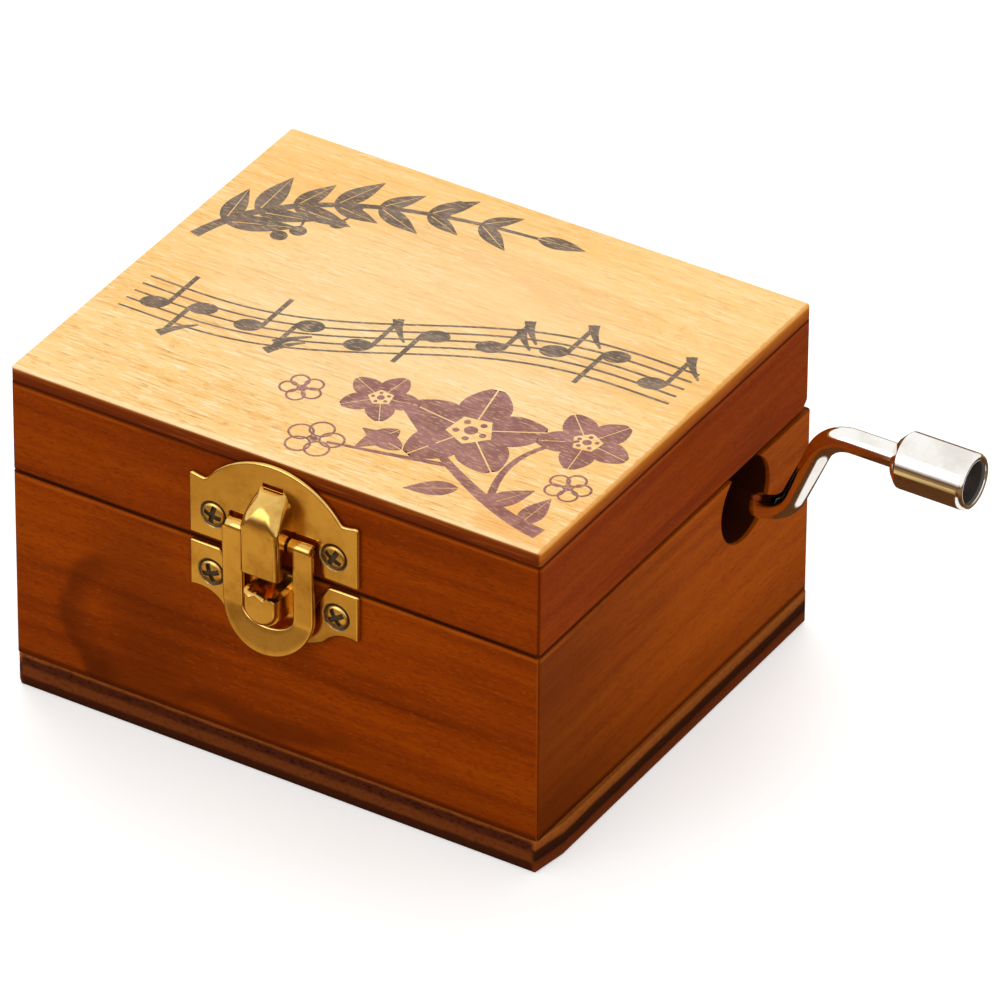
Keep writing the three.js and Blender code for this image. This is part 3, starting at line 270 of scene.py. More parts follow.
class Finish(Graph):
    """A material."""

    def __init__(self, name):
        self.material = bpy.data.materials.new(name)
        self.material.use_nodes = True
        super().__init__(self.material.node_tree)
        self.tree.nodes.clear()

    def place(self, stretch=1, shift=(0, 0, 0)):
        """Where a point of the piece is, in millimetres, stretched by one share or three and shifted."""
        point = self.add("ShaderNodeTexCoord", output="Object")
        scale = [METRE * share for share in (stretch if isinstance(stretch, (tuple, list)) else (stretch,) * 3)]
        return self.add("ShaderNodeMapping", sockets={"Vector": point, "Scale": scale, "Location": shift})

    def along(self, axis):
        """One coordinate of the point, in millimetres."""
        return self.add("ShaderNodeSeparateXYZ", sockets={"Vector": self.place()}, output=axis)

    def noise(self, stretch, shift=(0, 0, 0), detail=2.0, roughness=0.5, distortion=0.0):
        sockets = {"Vector": self.place(stretch, shift), "Scale": 1.0, "Detail": detail}
        sockets |= {"Roughness": roughness, "Distortion": distortion}
        return self.add("ShaderNodeTexNoise", sockets=sockets)

    def step(self, value, low, high):
        """0 below low, 1 above high, and smooth between."""
        sockets = {"Value": value, "From Min": low, "From Max": high}
        return self.add("ShaderNodeMapRange", {"interpolation_type": "SMOOTHSTEP"}, sockets)

    def fall(self, value, low, high):
        """1 below low, 0 above high, and smooth between."""
        return 1 - self.step(value, low, high)

    def band(self, value, base, *edges):
        """A band that fades in over the first two distances from a base, and out over the last two."""
        low, full, still_full, high = (base + edge for edge in edges)
        return self.step(value, low, full) * self.fall(value, still_full, high)

    def blend(self, share, first, second):
        mixed = {0: share, 6: painted(first), 7: painted(second)}
        return self.add("ShaderNodeMix", {"data_type": "RGBA"}, mixed, output=2)

    def over(self, base, *layers):
        """Lays tones over a base one after another, each given as (share, tone)."""
        for share, tone in layers:
            base = self.blend(share, base, tone)
        return base

    def bump(self, height, depth):
        """A normal from a height of 0 to 1 that stands for a depth in millimetres."""
        return self.add("ShaderNodeBump", sockets={"Height": height, "Distance": depth / METRE, "Strength": 1.0})

    def surface(self, **sockets):
        named = {key.replace("_", " ").title().replace("Ior", "IOR"): value for key, value in sockets.items()}
        shader = self.add("ShaderNodeBsdfPrincipled", sockets=named)
        return self.show(shader)

    def show(self, shader):
        self.add("ShaderNodeOutputMaterial", sockets={"Surface": shader})
        return self.material


def painted(tone):
    """A tone as a shader takes it. Three numbers are a screen colour of 0 to 255; all else is taken as it is."""
    if not isinstance(tone, tuple) or len(tone) != 3:
        return tone
    shares = [value / 255 for value in tone]
    return (*(share / 12.92 if share <= 0.04045 else ((share + 0.055) / 1.055) ** 2.4 for share in shares), 1)


def span(first, second):
    """The length of a run whose two parts stand at right angles."""
    return (first * first + second * second) ** 0.5


# Wood

GRAIN = {"x": (0.05, 1, 1), "y": (1, 0.05, 1)}


def grain(finish, axis, fineness, length_share=1.0, shift=0, **noise):
    """Noise drawn out along the board's grain."""
    stretch = [share * fineness for share in GRAIN[axis]]
    stretch["xy".index(axis)] *= length_share
    return finish.noise(stretch, (shift, shift * 1.7, -shift), **noise)


def wood_figure(finish, axis, shift, light, middle, dark):
    """The colour of a board before stain marks: broad bands, fibres, short dark pores and pale flecks."""
    broad = grain(finish, axis, 0.16, 1.4, shift, detail=3.0, roughness=0.5, distortion=0.5)
    bands = grain(finish, axis, 0.8, 0.8, shift + 5, detail=3.0, roughness=0.6)
    fibres = grain(finish, axis, 4.2, 2.2, shift + 9, detail=4.0, roughness=0.65)
    pores = grain(finish, axis, 5.5, 4.5, shift + 13, detail=2.0, roughness=0.5)
    flecks = grain(finish, axis, 5.0, 5.0, shift + 17, detail=3.0, roughness=0.6)
    base = finish.ramp(0.6 * broad + 0.4 * bands, [(0.3, dark), (0.48, middle), (0.68, light)])
    base = finish.over(
        base,
        (finish.step(fibres, 0.4, 0.72) * 0.3, dark),
        (finish.step(pores, 0.57, 0.67) * 0.5, dark),
        (finish.step(flecks, 0.55, 0.68) * 0.5, light),
    )
    return base, fibres, pores


def knot_marks_and_painted_shade(finish):
    """The dark curl and the dark flame of the front board, as shares of stain, and painted shade that darkens the
    board towards its foot.
    """
    x, z = finish.along(0), finish.along(2)
    waver = finish.noise(0.16, (3, 0, 8), detail=3.0)
    across = (x + 19.4) / 6.2 + (waver - 0.5) * 0.7
    up = (z - 12.6) / 7.4 + (waver - 0.5) * 0.5
    reach = span(across, up)
    ring = finish.band(reach, 0, 0.5, 0.95, 1.0, 1.22)
    curl = ring * finish.fall(across, -0.45, 0.25)
    flame_up = (z - 6.6 - (x + 2) * 0.02 - (waver - 0.5) * 4) / 2.0
    flame_along = (x + 1) / 13.5
    flame = finish.fall(flame_up * flame_up + flame_along * flame_along, 0.1, 1.0)
    # Painted shade: the board darkens towards its foot.
    low = finish.fall(z, 4, 13) * 0.25
    veil = finish.fall(reach, 0.8, 2.6) * finish.step(across, -0.8, 0.4) * 0.4
    return curl * 0.55 + veil + flame * 0.45 + low


def right_darkening_and_painted_shade(finish):
    """The right board is darker towards the latch, and painted shade darkens its foot."""
    y, z = finish.along(1), finish.along(2)
    # The first term darkens the board towards the front; the second is painted shade towards the foot.
    return finish.fall(y, -28, 6) * 0.6 + finish.fall(z, 4, 12) * 0.25


def stained_board(
    name, axis, shift, marks=None, seam_shadow_strength=0.75, corner_tone=(70, 22, 3),
    tones=((156, 68, 1), (139, 54, 1), (104, 36, 1)), bored=False,
):
    """Orange brown stain under a thin satin lacquer, raw inside: painted shadow in the joints, painted highlights on
    the rounded edges under the seam and under the lid's panel, and a tone along its upright corners that is a pale
    painted highlight on the front board.
    """
    finish = Finish(f"stained_{name}_wood")
    figure, fibres, pores = wood_figure(finish, axis, shift, *tones)
    if marks:
        # The marks are stain, and on the front and right boards also painted shade towards the foot.
        figure = finish.blend(marks(finish), figure, (80, 28, 2))
    z = finish.along(2)
    broken = finish.step(grain(finish, axis, 1.2, 1.0, shift + 21, detail=3.0), 0.34, 0.56)
    # Painted shadow in the joints: the seam under the lid, and the foot over the base panel.
    seam_shadow = finish.band(z, BODY_TOP, -0.14, -0.02, 0.38, 0.6)
    foot = finish.band(z, BASE_TOP, 0, 0.1, 0.35, 0.9)
    # Painted highlights, broken along the grain, on the rounded edges just under the seam and just under the lid's
    # panel.
    seam_edge_highlight = finish.band(z, BODY_TOP, -0.75, -0.45, -0.25, -0.12)
    panel_foot = CASE_TOP - PANEL
    panel_edge_highlight = finish.band(z, panel_foot, -0.75, -0.5, -0.42, -0.28)
    # Painted shadow on the rails' tops under the lid's panel.
    panel_joint_shadow = finish.step(z, panel_foot - 0.3, panel_foot - 0.12)
    figure = finish.over(
        figure,
        # Painted highlights on the rounded edges.
        ((seam_edge_highlight + panel_edge_highlight * 0.7) * broken * 0.5, (176, 88, 16)),
        # Painted shadow in the joints.
        (seam_shadow * seam_shadow_strength + foot * 0.7 + panel_joint_shadow * 0.7, (58, 18, 3)),
    )
    outward, size, across = (1, HALF_DEPTH, HALF_WIDTH) if axis == "x" else (0, HALF_WIDTH, HALF_DEPTH)
    inside = finish.fall(abs(finish.along(outward)), size - 0.3, size - 0.12)
    raw = finish.ramp(0.5 * fibres + 0.5 * broken, [(0.2, (64, 26, 9)), (0.75, (112, 54, 22))])
    if bored:
        # Painted shade inside the crank's hole.
        hole_shade = finish.fall(span(finish.along(1) - SHAFT_Y, z - SHAFT_Z), *HOLE_SHADE)
        raw = finish.blend(hole_shade, raw, (58, 22, 7))
    figure = finish.blend(inside, figure, raw)
    # A tone on the upright corners: on the front board a pale painted highlight on the rounded corner, on the other
    # boards darker.
    corner = finish.step(abs(finish.along(1 - outward)), across - 0.42, across - 0.2)
    figure = finish.blend(corner * 0.5, figure, corner_tone)
    cloud = finish.noise(0.05, (shift, 2, 5), detail=2.0)
    roughness = 0.42 + fibres * 0.14 + cloud * 0.1
    normal = finish.bump(fibres * 0.6 - finish.step(pores, 0.6, 0.72) * 0.6, 0.02)
    return finish.surface(
        base_color=figure, roughness=roughness, normal=normal, ior=1.1, specular_ior_level=0.5,
        specular_tint=(1.0, 0.62, 0.3, 1),
    )


def lid_colour(finish):
    """Pale golden wood: soft clouds, and dark and pale streaks and flecks along it that grow strong to the front, and
    a painted highlight that pales its middle.
    """
    broad = grain(finish, "x", 0.12, 2.2, 21, detail=3.0, roughness=0.55, distortion=0.9)
    bands = grain(finish, "x", 0.7, 1.8, 27, detail=3.0, roughness=0.6, distortion=0.3)
    stops = [(0.3, (240, 180, 104)), (0.46, (247, 200, 128)), (0.62, (252, 214, 150))]
    base = finish.ramp(0.6 * broad + 0.4 * bands, stops)
    patch = finish.noise(0.07, (5, 2, 7), detail=3.0)
    x, y = finish.along(0), finish.along(1)
    strength = 0.45 + finish.fall(y, -22, 18) * 0.35 + (patch - 0.5) * 0.8
    long_lines = grain(finish, "x", 2.6, 1.1, 29, detail=4.0, roughness=0.6, distortion=0.35)
    streak = finish.step(long_lines, 0.54, 0.66) * strength
    flecks = grain(finish, "x", 3.4, 3.4, 31, detail=3.0, roughness=0.55, distortion=0.25)
    fine = grain(finish, "x", 7.0, 5.5, 33, detail=2.0, roughness=0.5)
    streak = streak * 0.75 + finish.step(flecks, 0.56, 0.66) * strength * 0.7
    streak = streak + finish.step(fine, 0.58, 0.7) * strength * 0.4
    base = finish.blend(finish.maths("MINIMUM", streak * 0.72, 1.0), base, (208, 138, 66))
    pale = grain(finish, "x", 3.0, 2.2, 37, detail=3.0, roughness=0.6, distortion=0.3)
    base = finish.blend(finish.step(pale, 0.52, 0.66) * strength * 0.8, base, (255, 238, 200))
    # Painted highlight: the middle of the lid is paled.
    middle = finish.step(x * x * 0.001 + (y - 2) * (y - 2) * 0.0016, 0.1, 0.9)
    base = finish.blend((1 - middle) * 0.3, base, (246, 224, 184))
    flame = finish.noise((0.09, 0.16, 0.1), (2, 6, 1), detail=3.0, distortion=0.8)
    near = finish.step(x, 8, 30) * finish.fall(y, -26, -8)
    base = finish.blend(finish.step(flame, 0.46, 0.62) * near * 0.5, base, (238, 168, 84))
    return base, flecks


def lid_wood():
    finish = Finish("golden_lid_wood")
    base, flecks = lid_colour(finish)
    x, y, z = (finish.along(axis) for axis in range(3))
    ragged = finish.noise(0.9, (6, 1, 3), detail=3.0)
    # Wear and a painted highlight pale the rounded front edge of the top.
    front_lip_wear_and_highlight = finish.fall(y + (ragged - 0.5) * 0.8, -HALF_DEPTH + 0.35, -HALF_DEPTH + 0.85)
    right_lip = finish.step(x + (ragged - 0.5) * 0.6, HALF_WIDTH - 0.55, HALF_WIDTH - 0.2)
    base = finish.over(
        base,
        (front_lip_wear_and_highlight * 0.4, (255, 236, 196)),
        (right_lip * 0.8, (222, 148, 66)),
    )
    side = finish.fall(z, CASE_TOP - 0.2, CASE_TOP - 0.03)
    right = finish.step(x, HALF_WIDTH - 0.3, HALF_WIDTH - 0.1)
    streak = finish.noise((0.14, 0.14, 2.6), (4, 7, 1), detail=4.0, roughness=0.6)
    depth = (CASE_TOP - z) / PANEL
    # The panel's edges; the pale stop at the top of each ramp is a painted highlight on the rounded upper edge.
    front_edge_with_highlight = finish.ramp(depth, [
        (0.06, (176, 104, 34)), (0.2, (124, 54, 8)), (0.42, (110, 41, 3)), (0.86, (100, 34, 2)), (1.0, (66, 18, 1)),
    ])
    right_edge_with_highlight = finish.ramp(depth, [
        (0.06, (214, 146, 62)), (0.25, (178, 98, 18)), (0.55, (166, 82, 14)), (0.9, (140, 60, 8)), (1.0, (90, 30, 2)),
    ])
    edge = finish.blend(right, front_edge_with_highlight, right_edge_with_highlight)
    edge = finish.over(
        edge,
        (finish.step(streak, 0.5, 0.68) * 0.35, (74, 26, 2)),
        (finish.fall(streak, 0.34, 0.46) * 0.3, (170, 88, 20)),
    )
    base = finish.blend(side, base, edge)
    under = finish.fall(z, CASE_TOP - PANEL, CASE_TOP - PANEL + 0.04)
    raw = grain(finish, "x", 1.5, 1.6, 61, detail=4.0, roughness=0.6, distortion=0.3)
    base = finish.blend(under, base, finish.ramp(raw, [(0.34, (168, 112, 56)), (0.66, (210, 156, 92))]))
    cloud = finish.noise(0.06, (1, 2, 5), detail=2.0)
    roughness = 0.5 + flecks * 0.14 + cloud * 0.08
    normal = finish.bump(flecks, 0.015)
    return finish.surface(
        base_color=base, roughness=roughness, normal=normal, ior=1.15, specular_ior_level=0.5,
        specular_tint=(1.0, 0.8, 0.55, 1),
    )


def print_ink(name, ink, deep):
    """Ink that has sunk into the grain, with the lid's own wood showing through where it is thin."""
    finish = Finish(name)
    base, flecks = lid_colour(finish)
    gaps = finish.step(grain(finish, "x", 4.2, 4.5, 43, detail=3.0, roughness=0.7), 0.5, 0.68)
    cloud = finish.noise(0.35, (8, 1, 2), detail=3.0)
    shade = finish.blend(finish.step(cloud, 0.38, 0.62), ink, deep)
    figure = finish.blend(0.93 - gaps * 0.4, base, shade)
    roughness = 0.55 + flecks * 0.15
    normal = finish.bump(flecks, 0.012)
    return finish.surface(base_color=figure, roughness=roughness, normal=normal, specular_ior_level=0.3)


def plywood():
    """The base panel: three plies on its edges, whose end grain changes places from side to side, with a painted
    highlight along the front's top edge.
    """
    finish = Finish("stained_plywood")
    x, z = finish.along(0), finish.along(2)
    waver = finish.noise((0.22, 0.22, 0.8), (2, 9, 4), detail=4.0)
    height = (z + (waver - 0.5) * 0.5) / BASE_TOP
    # The pale stop at the top of the front ramp is a painted highlight on the panel's rounded top edge.
    front = finish.ramp(height, [
        (0.0, (52, 18, 3)), (0.28, (66, 25, 4)), (0.37, (112, 52, 12)), (0.58, (108, 50, 11)),
        (0.68, (78, 30, 5)), (0.88, (74, 28, 5)), (0.96, (132, 66, 16)),
    ])
    right = finish.ramp(height, [
        (0.0, (78, 28, 5)), (0.1, (112, 46, 10)), (0.34, (98, 40, 8)), (0.43, (46, 17, 3)),
        (0.66, (60, 24, 5)), (0.76, (140, 72, 18)), (1.0, (158, 86, 26)),
    ])
    turned_side = finish.step(abs(x), HALF_WIDTH - 0.9, HALF_WIDTH - 0.3)
    plies = finish.blend(turned_side, front, right)
    speck = finish.noise((1.6, 1.6, 2.2), (7, 3, 1), detail=4.0, roughness=0.7)
    middle_ply = finish.band(height, 0, 0.62, 0.7, 0.84, 0.92)
    marks = finish.step(speck, 0.5, 0.6) * (0.3 + middle_ply * (0.5 - turned_side * 0.45) - turned_side * 0.12)
    plies = finish.blend(marks, plies, (44, 14, 2))
    under = finish.fall(z, 0.02, 0.1)
    grain_below = grain(finish, "x", 2.0, 2.0, 51, detail=3.0)
    below = finish.ramp(grain_below, [(0.35, (120, 62, 22)), (0.65, (154, 88, 38))])
    plies = finish.blend(under, plies, below)
    normal = finish.bump(speck, 0.04)
    return finish.surface(base_color=plies, roughness=0.5 + speck * 0.2, normal=normal, specular_ior_level=0.08)


# Metals

def metal(name, bright, worn, roughness, streaks, spread=0.08, depth=0.003, shade_and_grime_mask=None):
    """A metal with faint clouds of handling, fine rubbing marks, and painted shade and grime where its mesh or a mask
    says so.
    """
    finish = Finish(name)
    cloud = finish.noise(0.22, (3, 1, 4), detail=4.0, roughness=0.6)
    marks = finish.noise(streaks, (1, 5, 9), detail=3.0, roughness=0.6)
    base = finish.blend(finish.step(cloud, 0.42, 0.74) * 0.7, bright, worn)
    shade_and_grime = finish.add("ShaderNodeAttribute", {"attribute_name": "shade_and_grime"}, output="Fac")
    if shade_and_grime_mask:
        shade_and_grime = shade_and_grime + shade_and_grime_mask(finish)
    shade_and_grime = finish.maths("MINIMUM", shade_and_grime, 1.0)
    # Painted shade in recesses, and painted shadow with tarnish in the screw seats, darken the metal.
    base = finish.blend(shade_and_grime * 0.95, base, (38, 20, 8))
    gloss = roughness + (cloud - 0.35) * spread + (marks - 0.5) * spread + shade_and_grime * 0.3
    normal = finish.bump(cloud * 0.5 + marks * 0.5, depth)
    return finish.surface(base_color=base, metallic=1.0 - shade_and_grime * 0.9, roughness=gloss, normal=normal)


def screw_seat_shade_and_tarnish(finish):
    """Painted shadow and tarnish in the dished seats round the four latch screws."""
    aside = abs(finish.along(0) - LATCH_X)
    z = finish.along(2) - BODY_TOP
    ragged = (finish.noise(1.4, (2, 2, 2), detail=2.0) - 0.5) * 0.3
    rings = 0
    for place, height in (UPPER_SCREW, LOWER_SCREW):
        reach = span(aside - place, z - height) + ragged
        rings = rings + finish.band(reach, 0, 1.1, 1.32, 1.5, 1.75)
    return rings * 1.1


def brass(name, roughness, shade_and_grime_mask=None):
    tones = {"bright": (236, 192, 106), "worn": (180, 128, 50)}
    return metal(name, roughness=roughness, streaks=1.2, spread=0.14, depth=0.008, shade_and_grime_mask=shade_and_grime_mask, **tones)


def cast_metal():
    finish = Finish("cast_zinc")
    pits = finish.noise(1.1, (2, 4, 6), detail=5.0, roughness=0.65)
    base = finish.blend(finish.step(pits, 0.4, 0.7), (150, 150, 148), (108, 108, 106))
    normal = finish.bump(pits, 0.03)
    return finish.surface(base_color=base, metallic=0.9, roughness=0.45 + pits * 0.2, normal=normal)


def moulded_plastic():
    finish = Finish("dark_moulded_plastic")
    skin = finish.noise(1.5, (5, 5, 5), detail=4.0)
    base = finish.blend(skin, (34, 32, 32), (52, 49, 47))
    return finish.surface(base_color=base, roughness=0.4 + skin * 0.2, normal=finish.bump(skin, 0.01))


BOARDS = {
    # The front board's pale corner tone is a painted highlight.
    "front": dict(axis="x", shift=11, marks=knot_marks_and_painted_shade, corner_tone=(150, 74, 12)),
    "back": dict(axis="x", shift=47),
    "left": dict(axis="y", shift=23),
    "right": dict(
        axis="y", shift=35, marks=right_darkening_and_painted_shade, seam_shadow_strength=0.2, corner_tone=(110, 44, 6), bored=True,
        tones=((174, 84, 8), (157, 70, 5), (120, 47, 2)),
    ),
    "lid_front": dict(axis="x", shift=61, tones=((148, 62, 1), (132, 50, 1), (98, 34, 1))),
    "lid_back": dict(axis="x", shift=73),
    "lid_left": dict(axis="y", shift=85),
    "lid_right": dict(
        axis="y", shift=97, seam_shadow_strength=0.45, corner_tone=(110, 40, 4), bored=True,
        tones=((152, 64, 2), (135, 50, 1), (102, 35, 1)),
    ),
}
FINISHES = {name: stained_board(name, **look) for name, look in BOARDS.items()}
FINISHES.update({
    "lid": lid_wood(),
    "plywood": plywood(),
    "plum_ink": print_ink("plum_ink", (152, 100, 104), (126, 74, 78)),
    "grey_ink": print_ink("grey_ink", (112, 98, 94), (78, 68, 66)),
    "brass": brass("polished_brass", roughness=0.16, shade_and_grime_mask=screw_seat_shade_and_tarnish),
    "screw_brass": brass("screw_brass", roughness=0.26),
    "hinge_brass": brass("hinge_brass", roughness=0.28),
    "cylinder_brass": brass("cylinder_brass", roughness=0.24),
    "nickel": metal(
        "bright_nickel", bright=(252, 249, 244), worn=(222, 215, 205), roughness=0.08, streaks=(0.25, 1.8, 1.8),
    ),
    "steel": metal(
        "ground_steel", bright=(150, 150, 150), worn=(120, 120, 122), roughness=0.3, streaks=(0.15, 3.0, 3.0),
        spread=0.14, depth=0.01,
    ),
    "cast": cast_metal(),
    "plastic": moulded_plastic(),
})


# Meshes

def mesh_from(vertices, faces):
    mesh = bpy.data.meshes.new("draft")
    mesh.from_pydata([tuple(v) for v in vertices], [], faces)
    return mesh


def settled(work):
    """The mesh of an object with its modifiers applied. The object goes."""
    graph = bpy.context.evaluated_depsgraph_get()
    mesh = bpy.data.meshes.new_from_object(work.evaluated_get(graph), preserve_all_data_layers=True, depsgraph=graph)
    bpy.data.objects.remove(work)
    return mesh


def shown(name, data):
    made = bpy.data.objects.new(name, data)
    scene.collection.objects.link(made)
    return made


def combined(operation, body, *others):
    """Joins solids to a body, or cuts them from it."""
    work = shown("work", body)
    tools = [shown("tool", other) for other in others]
    for tool in tools:
        modifier = work.modifiers.new("solid", "BOOLEAN")
        modifier.operation = operation
        modifier.solver = "EXACT"
        modifier.object = tool
    bpy.context.view_layer.update()
    mesh = settled(work)
    for tool in tools:
        bpy.data.objects.remove(tool)
    return mesh


def joined(body, *others):
    return combined("UNION", body, *others)


def cut(body, *others):
    return combined("DIFFERENCE", body, *others)


def moved(mesh, matrix):
    made = mesh.copy()
    made.transform(matrix)
    return made


def rounded(mesh, width, steps):
    """Breaks the sharp edges of a mesh and keeps its flats flat."""
    work = shown("work", mesh)
    bevel = work.modifiers.new("bevel", "BEVEL")
    bevel.width = width
    bevel.segments = steps
    bevel.limit_method = "ANGLE"
    bevel.angle_limit = math.radians(30)
    bevel.use_clamp_overlap = False
    bevel.miter_outer = "MITER_ARC"
    bpy.context.view_layer.update()
    return settled(work)


def copied(node, edge, shortest=0.0, steps=3):
    """A copy of a CAD node in millimetres. Its sharp outer edges are rounded, but for those shorter than a length."""
    shape = bmesh.new()
    shape.from_mesh(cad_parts[node].data)
    bmesh.ops.scale(shape, vec=(METRE,) * 3, verts=shape.verts)
    bmesh.ops.remove_doubles(shape, verts=shape.verts, dist=0.004)
    bmesh.ops.dissolve_limit(shape, angle_limit=math.radians(1), verts=shape.verts, edges=shape.edges)
    if edge:
        sharp = [
            e
            for e in shape.edges
            if e.is_manifold and e.is_convex and e.calc_length() > shortest
            and e.calc_face_angle() > math.radians(28)
        ]
        bmesh.ops.bevel(
            shape, geom=sharp, offset=edge, offset_type="OFFSET", segments=steps, profile=0.5,
            affect="EDGES", clamp_overlap=False,
        )
    mesh = bpy.data.meshes.new(node)
    shape.to_mesh(mesh)
    shape.free()
    return mesh


def skinned(rings, closed=False):
    """A skin over rings of equal counts of points, with flat ends unless the rings close on themselves."""
    count = len(rings[0])
    vertices = [point for ring in rings for point in ring]
    faces = []
    for low in range(len(rings) if closed else len(rings) - 1):
        high = (low + 1) % len(rings)
        for k in range(count):
            n = (k + 1) % count
            faces.append((low * count + k, low * count + n, high * count + n, high * count + k))
    if not closed:
        last = (len(rings) - 1) * count
        faces.append(tuple(range(count))[::-1])
        faces.append(tuple(range(last, last + count)))
    return outward(mesh_from(vertices, faces))


def outward(mesh, merge=0.0005):
    """Turns the faces of closed meshes outwards, after points closer than a distance have been merged."""
    shape = bmesh.new()
    shape.from_mesh(mesh)
    if merge:
        bmesh.ops.remove_doubles(shape, verts=shape.verts, dist=merge)
    bmesh.ops.recalc_face_normals(shape, faces=shape.faces)
    shape.to_mesh(mesh)
    shape.free()
    return mesh


def turned(profile, sides=64):
    """A closed profile of (radius, height) turned about +Z. A radius of 0 lies on the axis."""
    rings = []
    for k in range(sides):
        angle = 2 * math.pi * k / sides
        rings.append([(r * math.cos(angle), r * math.sin(angle), h) for r, h in profile])
    return skinned(rings, closed=True)


def block(x, y, z):
    corners = [(a, b) for a, b in ((x[0], y[0]), (x[1], y[0]), (x[1], y[1]), (x[0], y[1]))]
    return skinned([[(a, b, height) for a, b in corners] for height in z])


def plate_of(outline, back, front):
    """A flat outline of (across, up) points between two distances out from the wall."""
    return skinned([[(x, -out, z) for x, z in outline] for out in (back, front)])


AIM = {
    "up": Matrix.Identity(4),
    "down": Matrix.Rotation(math.pi, 4, "X"),
    "front": Matrix.Rotation(math.pi / 2, 4, "X"),
    "right": Matrix.Rotation(math.pi / 2, 4, "Y"),
    "back": Matrix.Rotation(-math.pi / 2, 4, "X"),
}


def set_down(mesh, aim, place):
    return moved(mesh, Matrix.Translation(place) @ AIM[aim])


def shaded_in_recesses(mesh, share_at):
    """Marks how much painted shade each face of a mesh takes, from 0 to 1, by where its middle lies."""
    shade_and_grime = mesh.attributes.new("shade_and_grime", "FLOAT", "FACE")
    for face in mesh.polygons:
        shade_and_grime.data[face.index].value = share_at(*face.center)
    return mesh


def piece(name, mesh, finish, body, slot, *replaced, crease=32):
    """Brings a mesh to metres, shades it and gives it to its body."""
    mesh.transform(Matrix.Scale(1 / METRE, 4))
    mesh.name = name
    mesh.shade_smooth()
    mesh.set_sharp_from_angle(angle=math.radians(crease))
    mesh.materials.clear()
    mesh.materials.append(FINISHES[finish])
    made = shown(name, mesh)
    flats = made.modifiers.new("flats", "WEIGHTED_NORMAL")
    flats.keep_sharp = True
    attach(made, body)
    if replaced:
        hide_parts(*replaced)
    return made


# Case and lid

def make_boards():
    for side in ("front", "back", "left", "right"):
        for name, body, node in ((side, "root", f"{side}_wall"), (f"lid_{side}", "lid", f"lid_{side}_rail")):
            piece(f"{name}_board", copied(node, 0.12, 0.25), name, body, "stained_wood", node)
    piece("lid_top", copied("lid_panel", 0.18, 0.25), "lid", "lid", "golden_wood", "lid_panel")
    piece("base_ply", copied("base_panel", 0), "plywood", "root", "plywood", "base_panel", crease=40)


# The print on the lid: thin raised ink shapes, drawn in (x, y) on the lid's top

INK_RISE = 0.014
PETALS = 5
VEIN_GAP = 0.16


def bezier(start, pull, end, steps=16):
    points = []
    for k in range(steps + 1):
        t = k / steps
        points.append(tuple(
            (1 - t) ** 2 * a + 2 * t * (1 - t) * b + t * t * c for a, b, c in zip(start, pull, end)
        ))
    return points


def stroke(points, start_width, end_width):
    """A pen stroke that tapers along a line, as pairs of points on its two edges."""
    pairs = []
    for k, (x, y) in enumerate(points):
        ahead = points[min(k + 1, len(points) - 1)]
        behind = points[max(k - 1, 0)]
        run = Vector((ahead[0] - behind[0], ahead[1] - behind[1])).normalized()
        half = (start_width + (end_width - start_width) * k / (len(points) - 1)) / 2
        pairs.append(((x - run.y * half, y + run.x * half), (x + run.y * half, y - run.x * half)))
    return pairs


def arc(x, y, across, up, start, turn, steps):
    """Points on an oval about (x, y), from one angle on through a turn."""
    angles = [start + turn * k / steps for k in range(steps + 1)]
    return [(x + across * math.cos(angle), y + up * math.sin(angle)) for angle in angles]


def set_at(pairs, x, y, lean):
    """Pairs of points turned by a lean and moved to a place."""

    def put(point):
        a, b = point
        return (x + a * math.cos(lean) - b * math.sin(lean), y + a * math.sin(lean) + b * math.cos(lean))

    return [(put(left), put(right)) for left, right in pairs]


def oval(x, y, across, up, lean=0.0):
    rim = arc(0, 0, -across, up, 0.02, math.pi - 0.04, 16)
    return set_at([((a, b), (a, -b)) for a, b in rim], x, y, lean)


def halves(edge_at, steps, x, y, lean):
    """A shape in two mirrored halves. For each share of its length, edge_at gives (along, outer, inner)."""
    shapes = []
    for side in (1, -1):
        pairs = []
        for k in range(steps + 1):
            along, outer, inner = edge_at(k / steps)
            pairs.append(((along, side * outer), (along, side * inner))[::side])
        shapes.append(set_at(pairs, x, y, lean))
    return shapes


def leaf(x, y, lean, length, width):
    """A pointed leaf in two halves, with its middle vein left bare."""

    def edge_at(share):
        bulge = math.sin(math.pi * share ** 0.8) * width / 2 * (1 - 0.25 * share)
        inner = VEIN_GAP / 2 * (1 - 0.6 * share)
        return share * length, inner + bulge + 0.01, inner

    return halves(edge_at, 14, x, y, lean)


def sprig(line, leaf_length, leaf_width, width, berries=()):
    """A stem with pairs of leaves that grow smaller to its tip, and berries on short stalks."""
    shapes = [stroke(line, width, width * 0.35)]
    count = len(line)
    for n, k in enumerate(range(3, count - 1, 3)):
        x, y = line[k]
        run = math.atan2(line[k + 1][1] - y, line[k + 1][0] - x)
        share = 1 - 0.4 * k / count
        side = 1 if n % 2 else -1
        shapes += leaf(x, y, run + side * 0.72, leaf_length * share, leaf_width * share)
        shapes += leaf(x, y, run - side * 0.62, leaf_length * share * 0.84, leaf_width * share * 0.85)
    run = math.atan2(line[-1][1] - line[-2][1], line[-1][0] - line[-2][0])
    shapes += leaf(*line[-1], run, leaf_length * 0.66, leaf_width * 0.66)
    for k, lean, length in berries:
        x, y = line[k]
        tip = (x + length * math.cos(lean), y + length * math.sin(lean))
        shapes.append(stroke(bezier((x, y), ((x + tip[0]) / 2 + 0.4, (y + tip[1]) / 2 + 0.3), tip, 8), 0.36, 0.26))
        shapes.append(oval(*tip, 0.95, 0.9))
    return shapes


